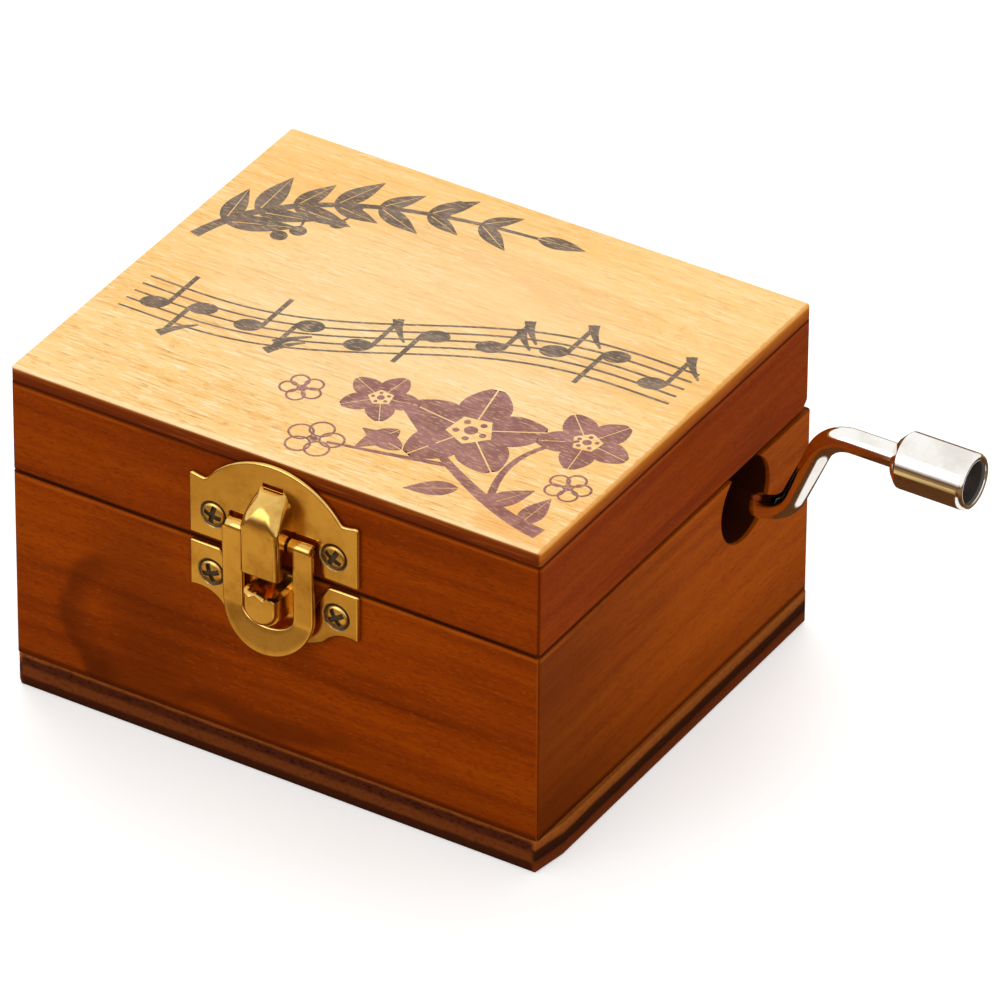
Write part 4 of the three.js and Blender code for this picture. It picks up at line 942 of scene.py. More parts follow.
def blossom(x, y, size, lean):
    """A plain open flower: rounded petals in two halves, a ring and dots at its middle."""

    def edge_at(share):
        swell = math.sin(math.pi * (0.08 + 0.92 * share) ** 0.75) ** 0.7 if share < 1 else 0.0
        along = size * (0.26 + 0.74 * share - 0.07 * (share > 0.97))
        return along, size * (0.012 + 0.33 * swell), size * 0.012

    shapes = []
    for n in range(PETALS):
        angle = lean + 2 * math.pi * n / PETALS
        shapes += halves(edge_at, 16, x, y, angle)
        middle = (x + size * 0.19 * math.cos(angle + 0.6), y + size * 0.19 * math.sin(angle + 0.6))
        shapes.append(oval(*middle, size * 0.045, size * 0.045))
    shapes.append(oval(x, y, size * 0.09, size * 0.09))
    return shapes


def outline_blossom(x, y, size, lean):
    """A small flower drawn in line only."""
    shapes = []
    for n in range(PETALS):
        angle = lean + 2 * math.pi * n / PETALS
        middle = (x + size * 0.52 * math.cos(angle), y + size * 0.52 * math.sin(angle))
        shapes.append(stroke(arc(*middle, size * 0.36, size * 0.36, 0, 2 * math.pi, 20), 0.24, 0.24))
    shapes.append(oval(x, y, size * 0.12, size * 0.12))
    return shapes


def stave_line(x):
    """The height of the stave's middle line."""
    return -1.0 + 0.27 * x + 2.4 * math.sin(x / 8.5)


def stave_shapes():
    """Five flowing lines from the front left to the back right, with plain notes placed by rule."""
    shapes = []
    for line in range(-2, 3):
        points = [(x / 2, stave_line(x / 2) + line * 1.55) for x in range(-58, 59)]
        shapes.append(stroke(points, 0.26, 0.34))
    notes = (
        (-26, -1, 0), (-21, 1, 1), (-15.4, 0, 0), (-9.8, 2, 2), (-3.8, -2, 1),
        (2.2, 1, 0), (8, -1, 2), (14, 0, 1), (20, 2, 0), (25.6, -1, 1),
    )
    for x, step, kind in notes:
        y = stave_line(x) + step * 0.78
        shapes.append(oval(x, y, 1.55, 1.1, 0.4))
        up = 1 if step < 1 else -1
        stem_x = x + up * 1.3
        shapes.append(stroke([(stem_x, y + up * 0.3), (stem_x, y + up * 6.4)], 0.55, 0.55))
        for flag in range(kind):
            start = (stem_x - 0.25, y + up * (6.3 - 1.7 * flag))
            tip = (stem_x + 2.5, y + up * (2.9 - 1.3 * flag))
            shapes.append(stroke(bezier(start, (stem_x + 0.6, y + up * (4.6 - 1.5 * flag)), tip, 12), 1.25, 0.25))
    return shapes


def ink_mesh(shapes):
    """Thin raised strips on the lid, each its own closed solid, at slightly different heights."""
    vertices, faces = [], []
    for n, pairs in enumerate(shapes):
        first = len(vertices)
        levels = (CASE_TOP + 0.002, CASE_TOP + INK_RISE * (1 + n / len(shapes)))
        for left, right in pairs:
            vertices += [(*left, levels[0]), (*right, levels[0]), (*right, levels[1]), (*left, levels[1])]
        last = first + 4 * (len(pairs) - 1)
        for corner in range(first, last, 4):
            for k in range(4):
                following = (k + 1) % 4
                faces.append((corner + k, corner + following, corner + 4 + following, corner + 4 + k))
        faces += [(first, first + 3, first + 2, first + 1), (last, last + 1, last + 2, last + 3)]
    return outward(mesh_from(vertices, faces), merge=0)


def make_print():
    piece("stave_print", ink_mesh(stave_shapes()), "grey_ink", "lid", "golden_wood")
    branch = sprig(
        bezier((-29.5, 4), (-26, 20), (1.5, 22.4), 24), 8.4, 3.3, 1.3,
        berries=((5, -0.3, 5.4), (10, -1.2, 5.0), (14, -1.7, 4.4), (19, 1.5, 2.6)),
    )
    piece("branch_print", ink_mesh(branch), "grey_ink", "lid", "golden_wood")
    stem = bezier((30, -24), (21, -23), (6, -11.5), 14)
    flowers = [stroke(stem, 1.9, 0.5), stroke(bezier(stem[5], (18.6, -13), (24.8, -7.6), 10), 0.9, 0.4)]
    flowers.append(stroke(bezier(stem[9], (9.5, -20), (3, -21.4), 10), 0.7, 0.35))
    flowers += blossom(14.4, -11.8, 8.2, 0.5) + blossom(25.6, -7.4, 5.4, 1.1) + blossom(3.4, -11.6, 4.5, 0.2)
    flowers += outline_blossom(1.6, -21.6, 3.6, 0.4) + outline_blossom(-4.4, -14.4, 2.7, 1.0)
    flowers += outline_blossom(28.2, -15.4, 2.8, 0.2)
    leaves = ((22.6, -22.4, 1.0), (18.8, -21.4, -2.6), (10.2, -18.6, 2.9), (27.4, -23.6, 1.5), (8.2, -15.6, -2.0))
    for x, y, lean in leaves:
        flowers += leaf(x, y, lean, 5.6, 2.7)
    piece("flower_print", ink_mesh(flowers), "plum_ink", "lid", "golden_wood")


# Latch

def mirrored(half):
    """An outline from its right half, which runs clockwise from the top of the middle line."""
    points = half + [(-x, z) for x, z in half[::-1]]
    kept = []
    for point in points:
        if not kept or math.dist(point, kept[-1]) > 0.02:
            kept.append(point)
    if math.dist(kept[0], kept[-1]) < 0.02:
        kept.pop()
    return kept


def upper_outline():
    arch_half = PLATE_HALF - HORN_WIDTH
    radius = (arch_half ** 2 + ARCH_RISE ** 2) / (2 * ARCH_RISE)
    spread = math.asin(arch_half / radius)
    half = []
    for k in range(29):
        angle = spread * k / 28
        half.append((radius * math.sin(angle), UPPER_TOP - radius * (1 - math.cos(angle))))
    horn = UPPER_TOP - ARCH_RISE
    half += bezier(half.pop(), (arch_half + 0.5, horn - 0.12), (PLATE_HALF - HORN_LIP, horn + HORN_LIP), 8)
    half += [(PLATE_HALF, horn), (PLATE_HALF, UPPER_FOOT)]
    middle = (UPPER_FOOT + UPPER_SCREW[1]) / 2
    half += bezier((UPPER_PAD_FOOT, UPPER_FOOT), (PAD_WAIST, middle), (PAD_WAIST, BARREL_SLOT_TOP), 18)
    return mirrored(half)


def lower_outline():
    shoulder = (LOWER_WEB * 1.5, -LOWER_DEPTH * 0.83)
    half = [(LOWER_WEB, 0)]
    waist = (2 * LOWER_PAD_WAIST - LOWER_PAD_TOP, LOWER_SCREW[1])
    half += bezier((LOWER_WEB, -LOWER_NOTCH), waist, (LOWER_PAD_TOP, 0), 18)
    half += [(PLATE_HALF, 0)]
    half += bezier((PLATE_HALF, -LOWER_DROP), (LOWER_SCREW[0], -LOWER_DROP + SCALLOP_RISE), shoulder, 18)
    half += bezier(shoulder, (LOWER_WEB, -LOWER_DEPTH), (0, -LOWER_DEPTH), 18)
    return mirrored(half)


def dimple(place):
    """The dished seat of a round headed screw, and the screw's hole."""
    x, z = place
    floor = PLATE - DIMPLE_DEPTH
    profile = [
        (0, floor), (1.3, floor), (1.44, floor + 0.02), (1.54, floor + 0.1), (1.62, PLATE - 0.04),
        (1.74, PLATE + 0.01), (1.74, PLATE + 1), (0, PLATE + 1),
    ]
    hole = [(0, -0.5), (0.75, -0.5), (0.75, PLATE), (0, PLATE)]
    return [set_down(turned(shape, 48), "front", (x, 0, z)) for shape in (profile, hole)]


def bent_section(height, reach, half, corner, back, foot_half):
    """One level of a pressed loop: out from the wall, where it is widest, round two corners and back."""
    corner = max(0.02, min(corner, reach - back - 0.02, half - 0.02))
    points = [(-foot_half, -back, height)]
    for side, start in ((-1, math.pi), (1, math.pi / 2)):
        bend = arc(side * (half - corner), reach - corner, corner, corner, start, -math.pi / 2, 10)
        points += [(x, -out, height) for x, out in bend]
    points.append((foot_half, -back, height))
    return points


def nose(inset):
    """The loop pressed out of the upper plate, whose front rounds over into a full crown, or the space inside it."""
    reach = NOSE_REACH - inset
    top = NOSE_TOP - inset
    half = NOSE_HALF - inset
    back = 0.2 if inset == 0 else -0.5
    foot = NOSE_FOOT if inset == 0 else NOSE_FOOT - 0.5
    start = NOSE_SHOULDER - inset
    rounded_foot = [(foot, reach - 0.12), (foot + 0.1, reach - 0.03), (foot + 0.25, reach)]
    levels = (rounded_foot if inset == 0 else [(foot, reach)]) + [(start * 0.5, reach)]
    for k in range(31):
        angle = math.pi / 2 * k / 30
        levels.append((start + (top - start) * math.sin(angle), reach * math.cos(angle)))
    rings = []
    for height, out in levels:
        share = max(0.0, (height - start) / (top - start))
        narrow = half - 0.7 * share ** 2
        corner = 0.55 - inset * 0.4 + 1.7 * share ** 0.8
        foot_half = half - 0.25 * share ** 3
        rings.append(bent_section(height, max(out, back + 0.06), narrow, corner, back, foot_half))
    return skinned(rings)


def upper_plate():
    sheet = rounded(plate_of(upper_outline(), 0, PLATE), 0.27, 4)
    slot = block((-SLOT_WIDTH / 2, SLOT_WIDTH / 2), (-PLATE - 0.5, 0.5), (NOSE_TOP, NOSE_TOP + SLOT_HEIGHT))
    bore = [(0, -NOSE_HALF - 1), (PIN_RADIUS + 0.15, -NOSE_HALF - 1)]
    bore += [(radius, -along) for radius, along in bore[::-1]]
    pin_hole = set_down(turned(bore, 24), "right", (0, -PIN_OUT, PIN_UP))
    x, z = UPPER_SCREW
    seats = dimple((x, z)) + dimple((-x, z))
    return cut(joined(sheet, nose(0)), nose(NOSE_WALL), slot, pin_hole, *seats)


def catch(inset):
    """The scoop that stands out of the lower plate with a torn upper rim, or the pocket in it."""
    half = CATCH_HALF - inset
    foot = CATCH_FOOT + inset
    top = CATCH_TOP + (0.5 if inset else 0)
    reach = CATCH_REACH - inset
    start = 0.25 if inset == 0 else PLATE
    steps = [(start, 0.0), (PLATE + 0.3, 0.0)]
    for k in range(1, 15):
        angle = math.pi / 2 * k / 14
        steps.append((PLATE + 0.3 + (reach - PLATE - 0.3) * math.sin(angle), 1 - math.cos(angle)))
    rings = []
    for out, share in steps:
        side = half - 0.5 * share ** 2
        low = foot + CATCH_RISE * share
        points = []
        for k in range(9):
            x = side * (1 - k / 4)
            torn = 0 if inset else 0.16 * math.sin(4.3 * x + out) + 0.1 * math.sin(11 * x) - 0.45 * share ** 1.5
            points.append((x, -out, top + torn))
        points += [(x, -out, z) for x, z in arc(0, low + side, side, side, math.pi, math.pi, 32)[1:-1]]
        rings.append(points)
    return skinned(rings)


def lower_plate():
    sheet = rounded(plate_of(lower_outline(), 0, PLATE), 0.27, 4)
    x, z = LOWER_SCREW
    seats = dimple((x, z)) + dimple((-x, z))
    return cut(joined(sheet, catch(0)), catch(CATCH_WALL), *seats)


def hasp_front(z):
    """How far the hasp's front stands out from the wall at a height, with a soft bend."""
    top_out = PIN_OUT + BARREL_RADIUS
    upper = HASP_BEND_OUT + (top_out - HASP_BEND_OUT) * (z - HASP_BEND) / (PIN_UP - HASP_BEND)
    lower = HASP_BEND_OUT + (HASP_TIP_OUT - HASP_BEND_OUT) * (HASP_BEND - z) / (HASP_BEND - HASP_TIP)
    softness = 0.08
    return (upper + lower) / 2 + math.hypot(upper - lower, softness) / 2


def hasp_band():
    """The flat loop of the hasp, from the left arm round its foot to the right arm."""
    foot = HASP_TIP + HASP_ROUND
    window_foot = WINDOW_FOOT + WINDOW_ROUND
    pairs = []
    arm = 26
    for k in range(arm):
        inner, outer = (PIN_UP + (end - PIN_UP) * k / arm for end in (window_foot, foot))
        pairs.append(((-WINDOW_HALF, inner), (-HASP_HALF, outer)))
    inner = arc(0, window_foot, WINDOW_HALF, WINDOW_ROUND, math.pi, math.pi, 72)
    pairs += zip(inner, arc(0, foot, HASP_HALF, HASP_ROUND, math.pi, math.pi, 72))
    pairs += [((-inner[0], inner[1]), (-outer[0], outer[1])) for inner, outer in pairs[:arm][::-1]]
    edge = 0.2
    section = []
    for side, start in ((0, math.pi), (1, math.pi / 2)):
        for k in range(6):
            angle = start - math.pi / 2 * k / 5
            section.append((side, edge * (math.cos(angle) + (1 if side == 0 else -1)), edge * (1 - math.sin(angle))))
        if side == 0:
            section += [(0.25, 0, 0), (0.5, 0, 0), (0.75, 0, 0)]
    section += [(side, offset, PLATE - depth) for side, offset, depth in section[::-1]]
    rings = []
    for inner, outer in pairs:
        inner, outer = Vector(inner), Vector(outer)
        run = (outer - inner).normalized()
        ring = []
        for share, offset, depth in section:
            point = inner.lerp(outer, share) + run * offset
            ring.append((point.x, -(hasp_front(point.y) - depth), point.y))
        rings.append(ring)
    return skinned(rings)


def hasp():
    barrels = []
    for side in (-1, 1):
        near, far = sorted((side * (NOSE_HALF + 0.15), side * BARREL_HALF))
        ease = 0.16
        profile = [(BARREL_BORE, near), (BARREL_RADIUS - ease, near), (BARREL_RADIUS - 0.05, near + 0.05)]
        profile += [(BARREL_RADIUS, near + ease), (BARREL_RADIUS, far - ease), (BARREL_RADIUS - 0.05, far - 0.05)]
        profile += [(BARREL_RADIUS - ease, far), (BARREL_BORE, far)]
        barrels.append(set_down(turned(profile, 48), "right", (0, -PIN_OUT, PIN_UP)))
    bore = [(0, -8), (BARREL_BORE, -8), (BARREL_BORE, 8), (0, 8)]
    room = set_down(turned(bore, 48), "right", (0, -PIN_OUT, PIN_UP))
    return cut(joined(hasp_band(), *barrels), room)


def make_latch():
    place = Matrix.Translation((LATCH_X, -HALF_DEPTH, BODY_TOP))
    piece("upper_latch_plate", moved(upper_plate(), place), "brass", "lid", "brass", "latch_upper_plate")
    piece("lower_latch_plate", moved(lower_plate(), place), "brass", "root", "brass", "latch_lower_plate")
    piece("hasp_loop", moved(hasp(), place), "brass", "hasp", "brass", "hasp")


# Screws, placed by a node tree

def screw(head, head_height, shank, length, flat=False, recess="cross"):
    """A screw with its head's top at 0, pointing down, whose recess is marked for painted shade."""

    def crown_at(radius):
        return 0.0 if flat else -head_height * 0.75 * (1 - math.sqrt(max(0.0, 1 - (radius / head) ** 2)))

    if flat:
        crown = [(shank, -head_height), (head - 0.04, -0.06), (head, 0), (0, 0)]
    else:
        crown = [(shank, -head_height), (head - 0.05, -head_height), (head, -head_height + 0.06)]
        for k in range(1, 10):
            radius = head * math.cos(math.pi / 2 * k / 9)
            crown.append((radius, crown_at(radius)))
        crown[-1] = (0, 0)
    profile = [(0, -length), (shank * 0.3, -length), (shank, -length + shank)] + crown
    body = turned(profile, 40)
    if recess == "slot":
        reach, half, depth = head + 1, 0.2, 0.45
    else:
        reach, half, depth = head * 0.78, head * 0.21, head_height * 0.85
    arms = [block((-reach, reach), (-half, half), (-depth, 1))]
    if recess == "cross":
        arms.append(block((-half, half), (-reach, reach), (-depth, 1)))

    # Painted shade in the recess of the head.
    def recess_shade_at(x, y, z):
        radius = math.hypot(x, y)
        below_crown = crown_at(min(radius, head)) - 0.09 > z > -head_height * 0.97
        return float(radius < min(reach, head) + 0.02 and below_crown)

    return shaded_in_recesses(rounded(cut(body, *arms), 0.04, 2), recess_shade_at)


def screw_tree():
    """Sets one screw down on each point, aimed alike and turned about its own axis at random."""
    tree = Growth(
        "screws", places="Geometry", screw="Object", aim="Vector", most_turn="Float", seed="Int", finish="Material",
    )
    entry = tree.entry
    template = {"Object": entry["screw"]}
    template = tree.add("GeometryNodeObjectInfo", {"transform_space": "ORIGINAL"}, template, "Geometry")
    aim = tree.add("FunctionNodeEulerToRotation", sockets={0: entry["aim"]})
    chance = {2: 0.0, 3: entry["most_turn"], "Seed": entry["seed"]}
    turn = tree.add("FunctionNodeRandomValue", {"data_type": "FLOAT"}, chance, 1)
    spin = tree.add("FunctionNodeAxisAngleToRotation", sockets={"Axis": (0, 0, 1), "Angle": turn})
    facing = tree.add("FunctionNodeRotateRotation", {"rotation_space": "LOCAL"}, {0: aim, 1: spin})
    return tree.close(tree.laid(entry["places"], template, facing))


def grown(tree, mesh, **inputs):
    """The mesh that a node tree makes from another, with the tree's inputs set by name."""
    work = shown("work", mesh)
    modifier = work.modifiers.new("tree", "NODES")
    modifier.node_group = tree
    for item in tree.interface.items_tree:
        if item.in_out == "INPUT" and item.name in inputs:
            modifier[item.identifier] = inputs[item.name]
    bpy.context.view_layer.update()
    return settled(work)


def make_screws():
    tree = screw_tree()
    kinds = {
        "latch": shown("latch_screw", screw(head=1.35, head_height=0.55, shank=0.6, length=4)),
        "hinge": shown("hinge_screw", screw(head=0.95, head_height=0.55, shank=0.45, length=4.2, flat=True)),
        "machine": shown("machine_screw", screw(head=1.4, head_height=0.9, shank=0.7, length=2.6, recess="slot")),
        "mount": shown("mount_screw", screw(head=1.9, head_height=1.1, shank=0.9, length=7)),
    }

    def over(nodes, top):
        """The middle of each node, at one height or at the node's own lowest (0) or highest (1) level."""
        places = []
        for node in nodes:
            ends = [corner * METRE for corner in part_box(node)]
            middle = (ends[0] + ends[1]) / 2
            places.append((middle.x, middle.y, ends[top].z if top in (0, 1) else top))
        return places

    sets = []
    seat = -HALF_DEPTH - (PLATE - DIMPLE_DEPTH) - 0.55
    for body, word, level, (aside, up), seed in (
        ("lid", "lid", "upper", UPPER_SCREW, 3), ("root", "box", "lower", LOWER_SCREW, 8),
    ):
        places = [(LATCH_X + side * aside, seat, BODY_TOP + up) for side in (-1, 1)]
        nodes = [f"latch_screw_{level}_{side}" for side in ("left", "right")]
        sets.append((f"latch_screws_{word}", "latch", "front", places, body, "screw_brass", "brass", nodes, seed))
    nodes = [f"{kind}_screw_{n}" for kind in ("comb", "bearing", "bracket") for n in (1, 2)]
    sets.append(("movement_screws", "machine", "up", over(nodes, 1), "root", "steel", "steel", nodes, 5))
    nodes = [f"mount_screw_{n}" for n in (1, 2, 3)]
    sets.append(("mount_screws", "mount", "down", over(nodes, 0), "root", "steel", "steel", nodes, 6))
    for body, word, aim, top in (("root", "box", "up", BODY_TOP), ("lid", "lid", "down", BODY_TOP + 0.3)):
        nodes = [f"hinge_{side}_{word}_screw_{n}" for side in ("left", "right") for n in (1, 2)]
        sets.append((f"hinge_screws_{word}", "hinge", aim, over(nodes, top), body, "hinge_brass", "brass", nodes, 7))
    for name, kind, aim, places, body, finish, slot, nodes, seed in sets:
        mesh = grown(
            tree, mesh_from(places, []), screw=kinds[kind], aim=AIM[aim].to_euler(), most_turn=1.5,
            seed=seed, finish=FINISHES[finish],
        )
        piece(name, mesh, finish, body, slot, *nodes)
    for template in kinds.values():
        bpy.data.objects.remove(template)


# Hinges

def make_hinges():
    for side in ("left", "right"):
        for word, body in (("box", "root"), ("lid", "lid")):
            node = f"hinge_{side}_{word}_leaf"
            piece(f"hinge_{side}_{word}_plate", copied(node, 0.08, 1.2, 2), "hinge_brass", body, "brass", node)


# Crank

def wire_tree():
    """A wire of one thickness, bent to a radius at each corner of its line."""
    tree = Growth(
        "bent_wire", line="Geometry", wire_radius="Float", bend_radius="Float", bend_steps="Int", sides="Int",
        finish="Material",
    )
    entry = tree.entry
    line = tree.add("GeometryNodeMeshToCurve", sockets={0: entry["line"]})
    corners = {"Curve": line, "Radius": entry["bend_radius"], "Count": entry["bend_steps"]}
    bent = tree.add("GeometryNodeFilletCurve", {"mode": "POLY"}, corners)
    ring = {"Resolution": entry["sides"], "Radius": entry["wire_radius"]}
    ring = tree.add("GeometryNodeCurvePrimitiveCircle", sockets=ring)
    swept = {"Curve": bent, "Profile Curve": ring, "Fill Caps": True}
    return tree.close(tree.add("GeometryNodeCurveToMesh", sockets=swept))


def make_crank():
    hollow = KNOB_START + KNOB_LENGTH - HOLLOW_DEPTH
    end = hollow + 0.15 + PEEN_THICKNESS
    corners = [
        (WIRE_START, SHAFT_Y, SHAFT_Z), (BEND_X, SHAFT_Y, SHAFT_Z),
        (BEND_X + THROW_X, SHAFT_Y, SHAFT_Z + THROW_Z), (end - 0.12, SHAFT_Y, SHAFT_Z + THROW_Z),
    ]
    line = bpy.data.meshes.new("line")
    line.from_pydata(corners, [(0, 1), (1, 2), (2, 3)], [])
    wire = grown(
        wire_tree(), line, wire_radius=WIRE_RADIUS, bend_radius=BEND_RADIUS, bend_steps=18, sides=40,
        finish=FINISHES["nickel"],
    )
    peen = [(0, hollow + 0.15), (PEEN_RADIUS, hollow + 0.15), (PEEN_RADIUS, hollow + 0.5)]
    peen += [(PEEN_RADIUS - 0.2, hollow + 0.72), (PEEN_RADIUS - 0.6, end), (0, end)]
    handle_at = (0, SHAFT_Y, SHAFT_Z + THROW_Z)
    peened = set_down(turned(peen, 48), "right", handle_at)
    piece("crank_wire", joined(outward(wire), peened), "nickel", "crank", "nickel", "crank_handle")
    length = KNOB_LENGTH
    inner = WIRE_RADIUS + 0.15
    profile = [(inner, 0), (2.1, 0), (2.22, 0.05), (KNOB_RADIUS - 0.12, 0.78), (KNOB_RADIUS - 0.03, 0.9)]
    profile += [(KNOB_RADIUS, 1.05), (KNOB_RADIUS, length - 0.7), (KNOB_RADIUS - 0.03, length - 0.4)]
    profile += [(KNOB_RADIUS - 0.14, length - 0.12), (KNOB_RADIUS - 0.3, length)]
    profile += [(HOLLOW_RADIUS + 0.14, length), (HOLLOW_RADIUS + 0.04, length - 0.04)]
    profile += [(HOLLOW_RADIUS, length - 0.14 - k * (HOLLOW_DEPTH - 0.14) / 8) for k in range(9)]

    # Painted shade inside the knob's hollow, darkest deeper in.
    def hollow_shade_at(x, y, z):
        inside = z > length - HOLLOW_DEPTH - 0.1 and math.hypot(x, y) < HOLLOW_RADIUS + 0.01
        return min(1.0, 0.7 + 1.5 * (length - z) / HOLLOW_DEPTH) if inside else 0.0

    grip = shaded_in_recesses(turned(profile + [(inner, length - HOLLOW_DEPTH)], 96), hollow_shade_at)
    knob = set_down(grip, "right", (KNOB_START, *handle_at[1:]))
    piece("crank_grip", knob, "nickel", "knob", "nickel", "crank_knob")


# Movement

def pin_tree():
    """The cylinder's pins: one row of places for each note, turned on by a steady step."""
    tree = Growth(
        "cylinder_pins", drum="Geometry", tracks="Int", pins_per_track="Int", radius="Float", first="Float",
        pitch="Float", track_turn="Float", pin_rise="Float", finish="Material",
    )
    entry = tree.entry
    per_track = entry["pins_per_track"]
    index = tree.add("GeometryNodeInputIndex")
    track = tree.maths("FLOOR", (index + 0.01) / per_track)
    beat = index - track * per_track + (track % per_track) * 0.2
    angle = track * entry["track_turn"] + beat * (2 * math.pi) / per_track
    length = entry["pin_rise"] + PIN_ROOT
    reach = entry["radius"] - PIN_ROOT + length / 2
    place = tree.vector(
        tree.maths("SINE", angle) * reach + WHEEL_X,
        entry["first"] + entry["pitch"] * (track + 1),
        tree.maths("COSINE", angle) * reach + ARBOR_Z,
    )
    points = tree.add("GeometryNodePoints", sockets={"Count": entry["tracks"] * per_track, "Position": place})
    cone = {"Vertices": 10, "Radius Top": PIN_TIP_RADIUS, "Radius Bottom": PIN_FOOT_RADIUS, "Depth": length}
    cone = tree.add("GeometryNodeMeshCone", sockets=cone)
    sunk = tree.vector(0, 0, length * -0.5)
    pin = tree.add("GeometryNodeTransform", sockets={"Geometry": cone, "Translation": sunk})
    lean = tree.add("FunctionNodeEulerToRotation", sockets={0: tree.vector(0, angle, 0)})
    both = tree.add("GeometryNodeJoinGeometry", sockets={0: tree.real(tree.laid(points, pin, lean))})
    tree.tree.links.new(entry["drum"].socket, both.socket.node.inputs[0])
    return tree.close(both)


def worm():
    """The worm shaft's thread and core: helical rows of points, run out to the core at both ends."""
    lead = math.pi * MODULE
    root = WORM_PITCH - 1.1 * MODULE
    tip = WORM_PITCH + 0.75 * MODULE
    slope = math.tan(PRESSURE_ANGLE)
    flank = lead / 4 - 0.075
    thread_half = 2 * lead
    half = thread_half + lead / 2
    columns = 48
    lean = MODULE * slope
    profile = [(-flank - 1.1 * lean, root), (-flank + 0.65 * lean, tip - 0.06), (-flank + 0.85 * lean, tip)]
    profile += [(-along, radius) for along, radius in profile[::-1]]
    rows = [(along + turn * lead, radius) for turn in range(-4, 5) for along, radius in profile]
    vertices = []
    for end in (-half, half):
        vertices += [(end, root, column) for column in range(columns)]
    grid = []
    for along, radius in rows:
        line = []
        for column in range(columns):
            x = along + lead * column / columns
            if abs(x) >= half:
                line.append(column + (columns if x > 0 else 0))
                continue
            fade = min(1.0, max(0.0, (thread_half + 0.5 - abs(x)) / 0.9))
            line.append(len(vertices))
            vertices.append((x, root + (radius - root) * fade, column))
        grid.append(line)
    faces = []
    for row in range(len(grid) - 1 - len(profile)):
        for column in range(columns):
            wraps = column + 1 == columns
            following = 0 if wraps else column + 1
            shift = len(profile) if wraps else 0
            corners = [grid[row][column], grid[row + shift][following]]
            corners += [grid[row + 1 + shift][following], grid[row + 1][column]]
            kept = [c for n, c in enumerate(corners) if c not in corners[:n]]
            if len(kept) > 2:
                faces.append(tuple(kept))
    faces += [tuple(range(columns))[::-1], tuple(range(columns, 2 * columns))]
    places = []
    for x, radius, column in vertices:
        angle = 2 * math.pi * column / columns - math.pi / 2
        places.append((WHEEL_X + x, SHAFT_Y + radius * math.cos(angle), SHAFT_Z + radius * math.sin(angle)))
    return outward(mesh_from(places, faces))


def worm_shaft():
    low, high = (corner.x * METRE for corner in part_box("worm_shaft"))
    shaft = [(0, low), (SHAFT_RADIUS - SHAFT_TIP, low), (SHAFT_RADIUS, low + SHAFT_TIP)]
    for start in (WHEEL_X - COLLAR_START - COLLAR_WIDTH, WHEEL_X + COLLAR_START):
        end = start + COLLAR_WIDTH
        shaft += [(SHAFT_RADIUS, start), (COLLAR_RADIUS, start), (COLLAR_RADIUS, end), (SHAFT_RADIUS, end)]
    hub = WHEEL_X + HUB_START
    shaft += [(SHAFT_RADIUS, hub), (HUB_RADIUS - HUB_EDGE, hub), (HUB_RADIUS, hub + HUB_EDGE)]
    shaft += [(HUB_RADIUS, high - HUB_EDGE), (HUB_RADIUS - HUB_EDGE, high), (HUB_BORE, high)]
    shaft += [(HUB_BORE, high - HUB_DEPTH), (0, high - HUB_DEPTH)]
    turned_shaft = set_down(turned(shaft, 48), "right", (0, SHAFT_Y, SHAFT_Z))
    return joined(worm(), turned_shaft)


def worm_wheel():
    base = WHEEL_PITCH * math.cos(PRESSURE_ANGLE)
    root = WHEEL_PITCH - 1.1 * MODULE
    tip = WHEEL_PITCH + 0.75 * MODULE
    flank = MODULE * math.pi / 4 - 0.075

    def half_angle(radius):
        angle = math.acos(base / radius) if radius > base else 0
        return flank / WHEEL_PITCH + (math.tan(PRESSURE_ANGLE) - PRESSURE_ANGLE) - (math.tan(angle) - angle)

    radii = [root, max(base, root), base + 0.2, WHEEL_PITCH, WHEEL_PITCH + 0.25, tip]
    outline = []
    for tooth in range(TEETH):
        middle = math.pi / 2 + (tooth + 0.5) * 2 * math.pi / TEETH
        outline += [(r, middle - half_angle(r)) for r in radii]
        outline += [(r, middle + half_angle(r)) for r in radii[::-1]]
    twist = (MODULE / 2) / WORM_PITCH / WHEEL_PITCH
    rings = []
    for y in (-WHEEL_HALF, -WHEEL_HALF / 2, 0, WHEEL_HALF / 2, WHEEL_HALF):
        rings.append([(r * math.cos(a - y * twist), y, r * math.sin(a - y * twist)) for r, a in outline])
    for y in (WHEEL_HALF, -WHEEL_HALF):
        rings.append([(CAP_BORE * math.cos(a), y, CAP_BORE * math.sin(a)) for r, a in outline])
    return moved(skinned(rings, closed=True), Matrix.Translation((WHEEL_X, SHAFT_Y, ARBOR_Z)))


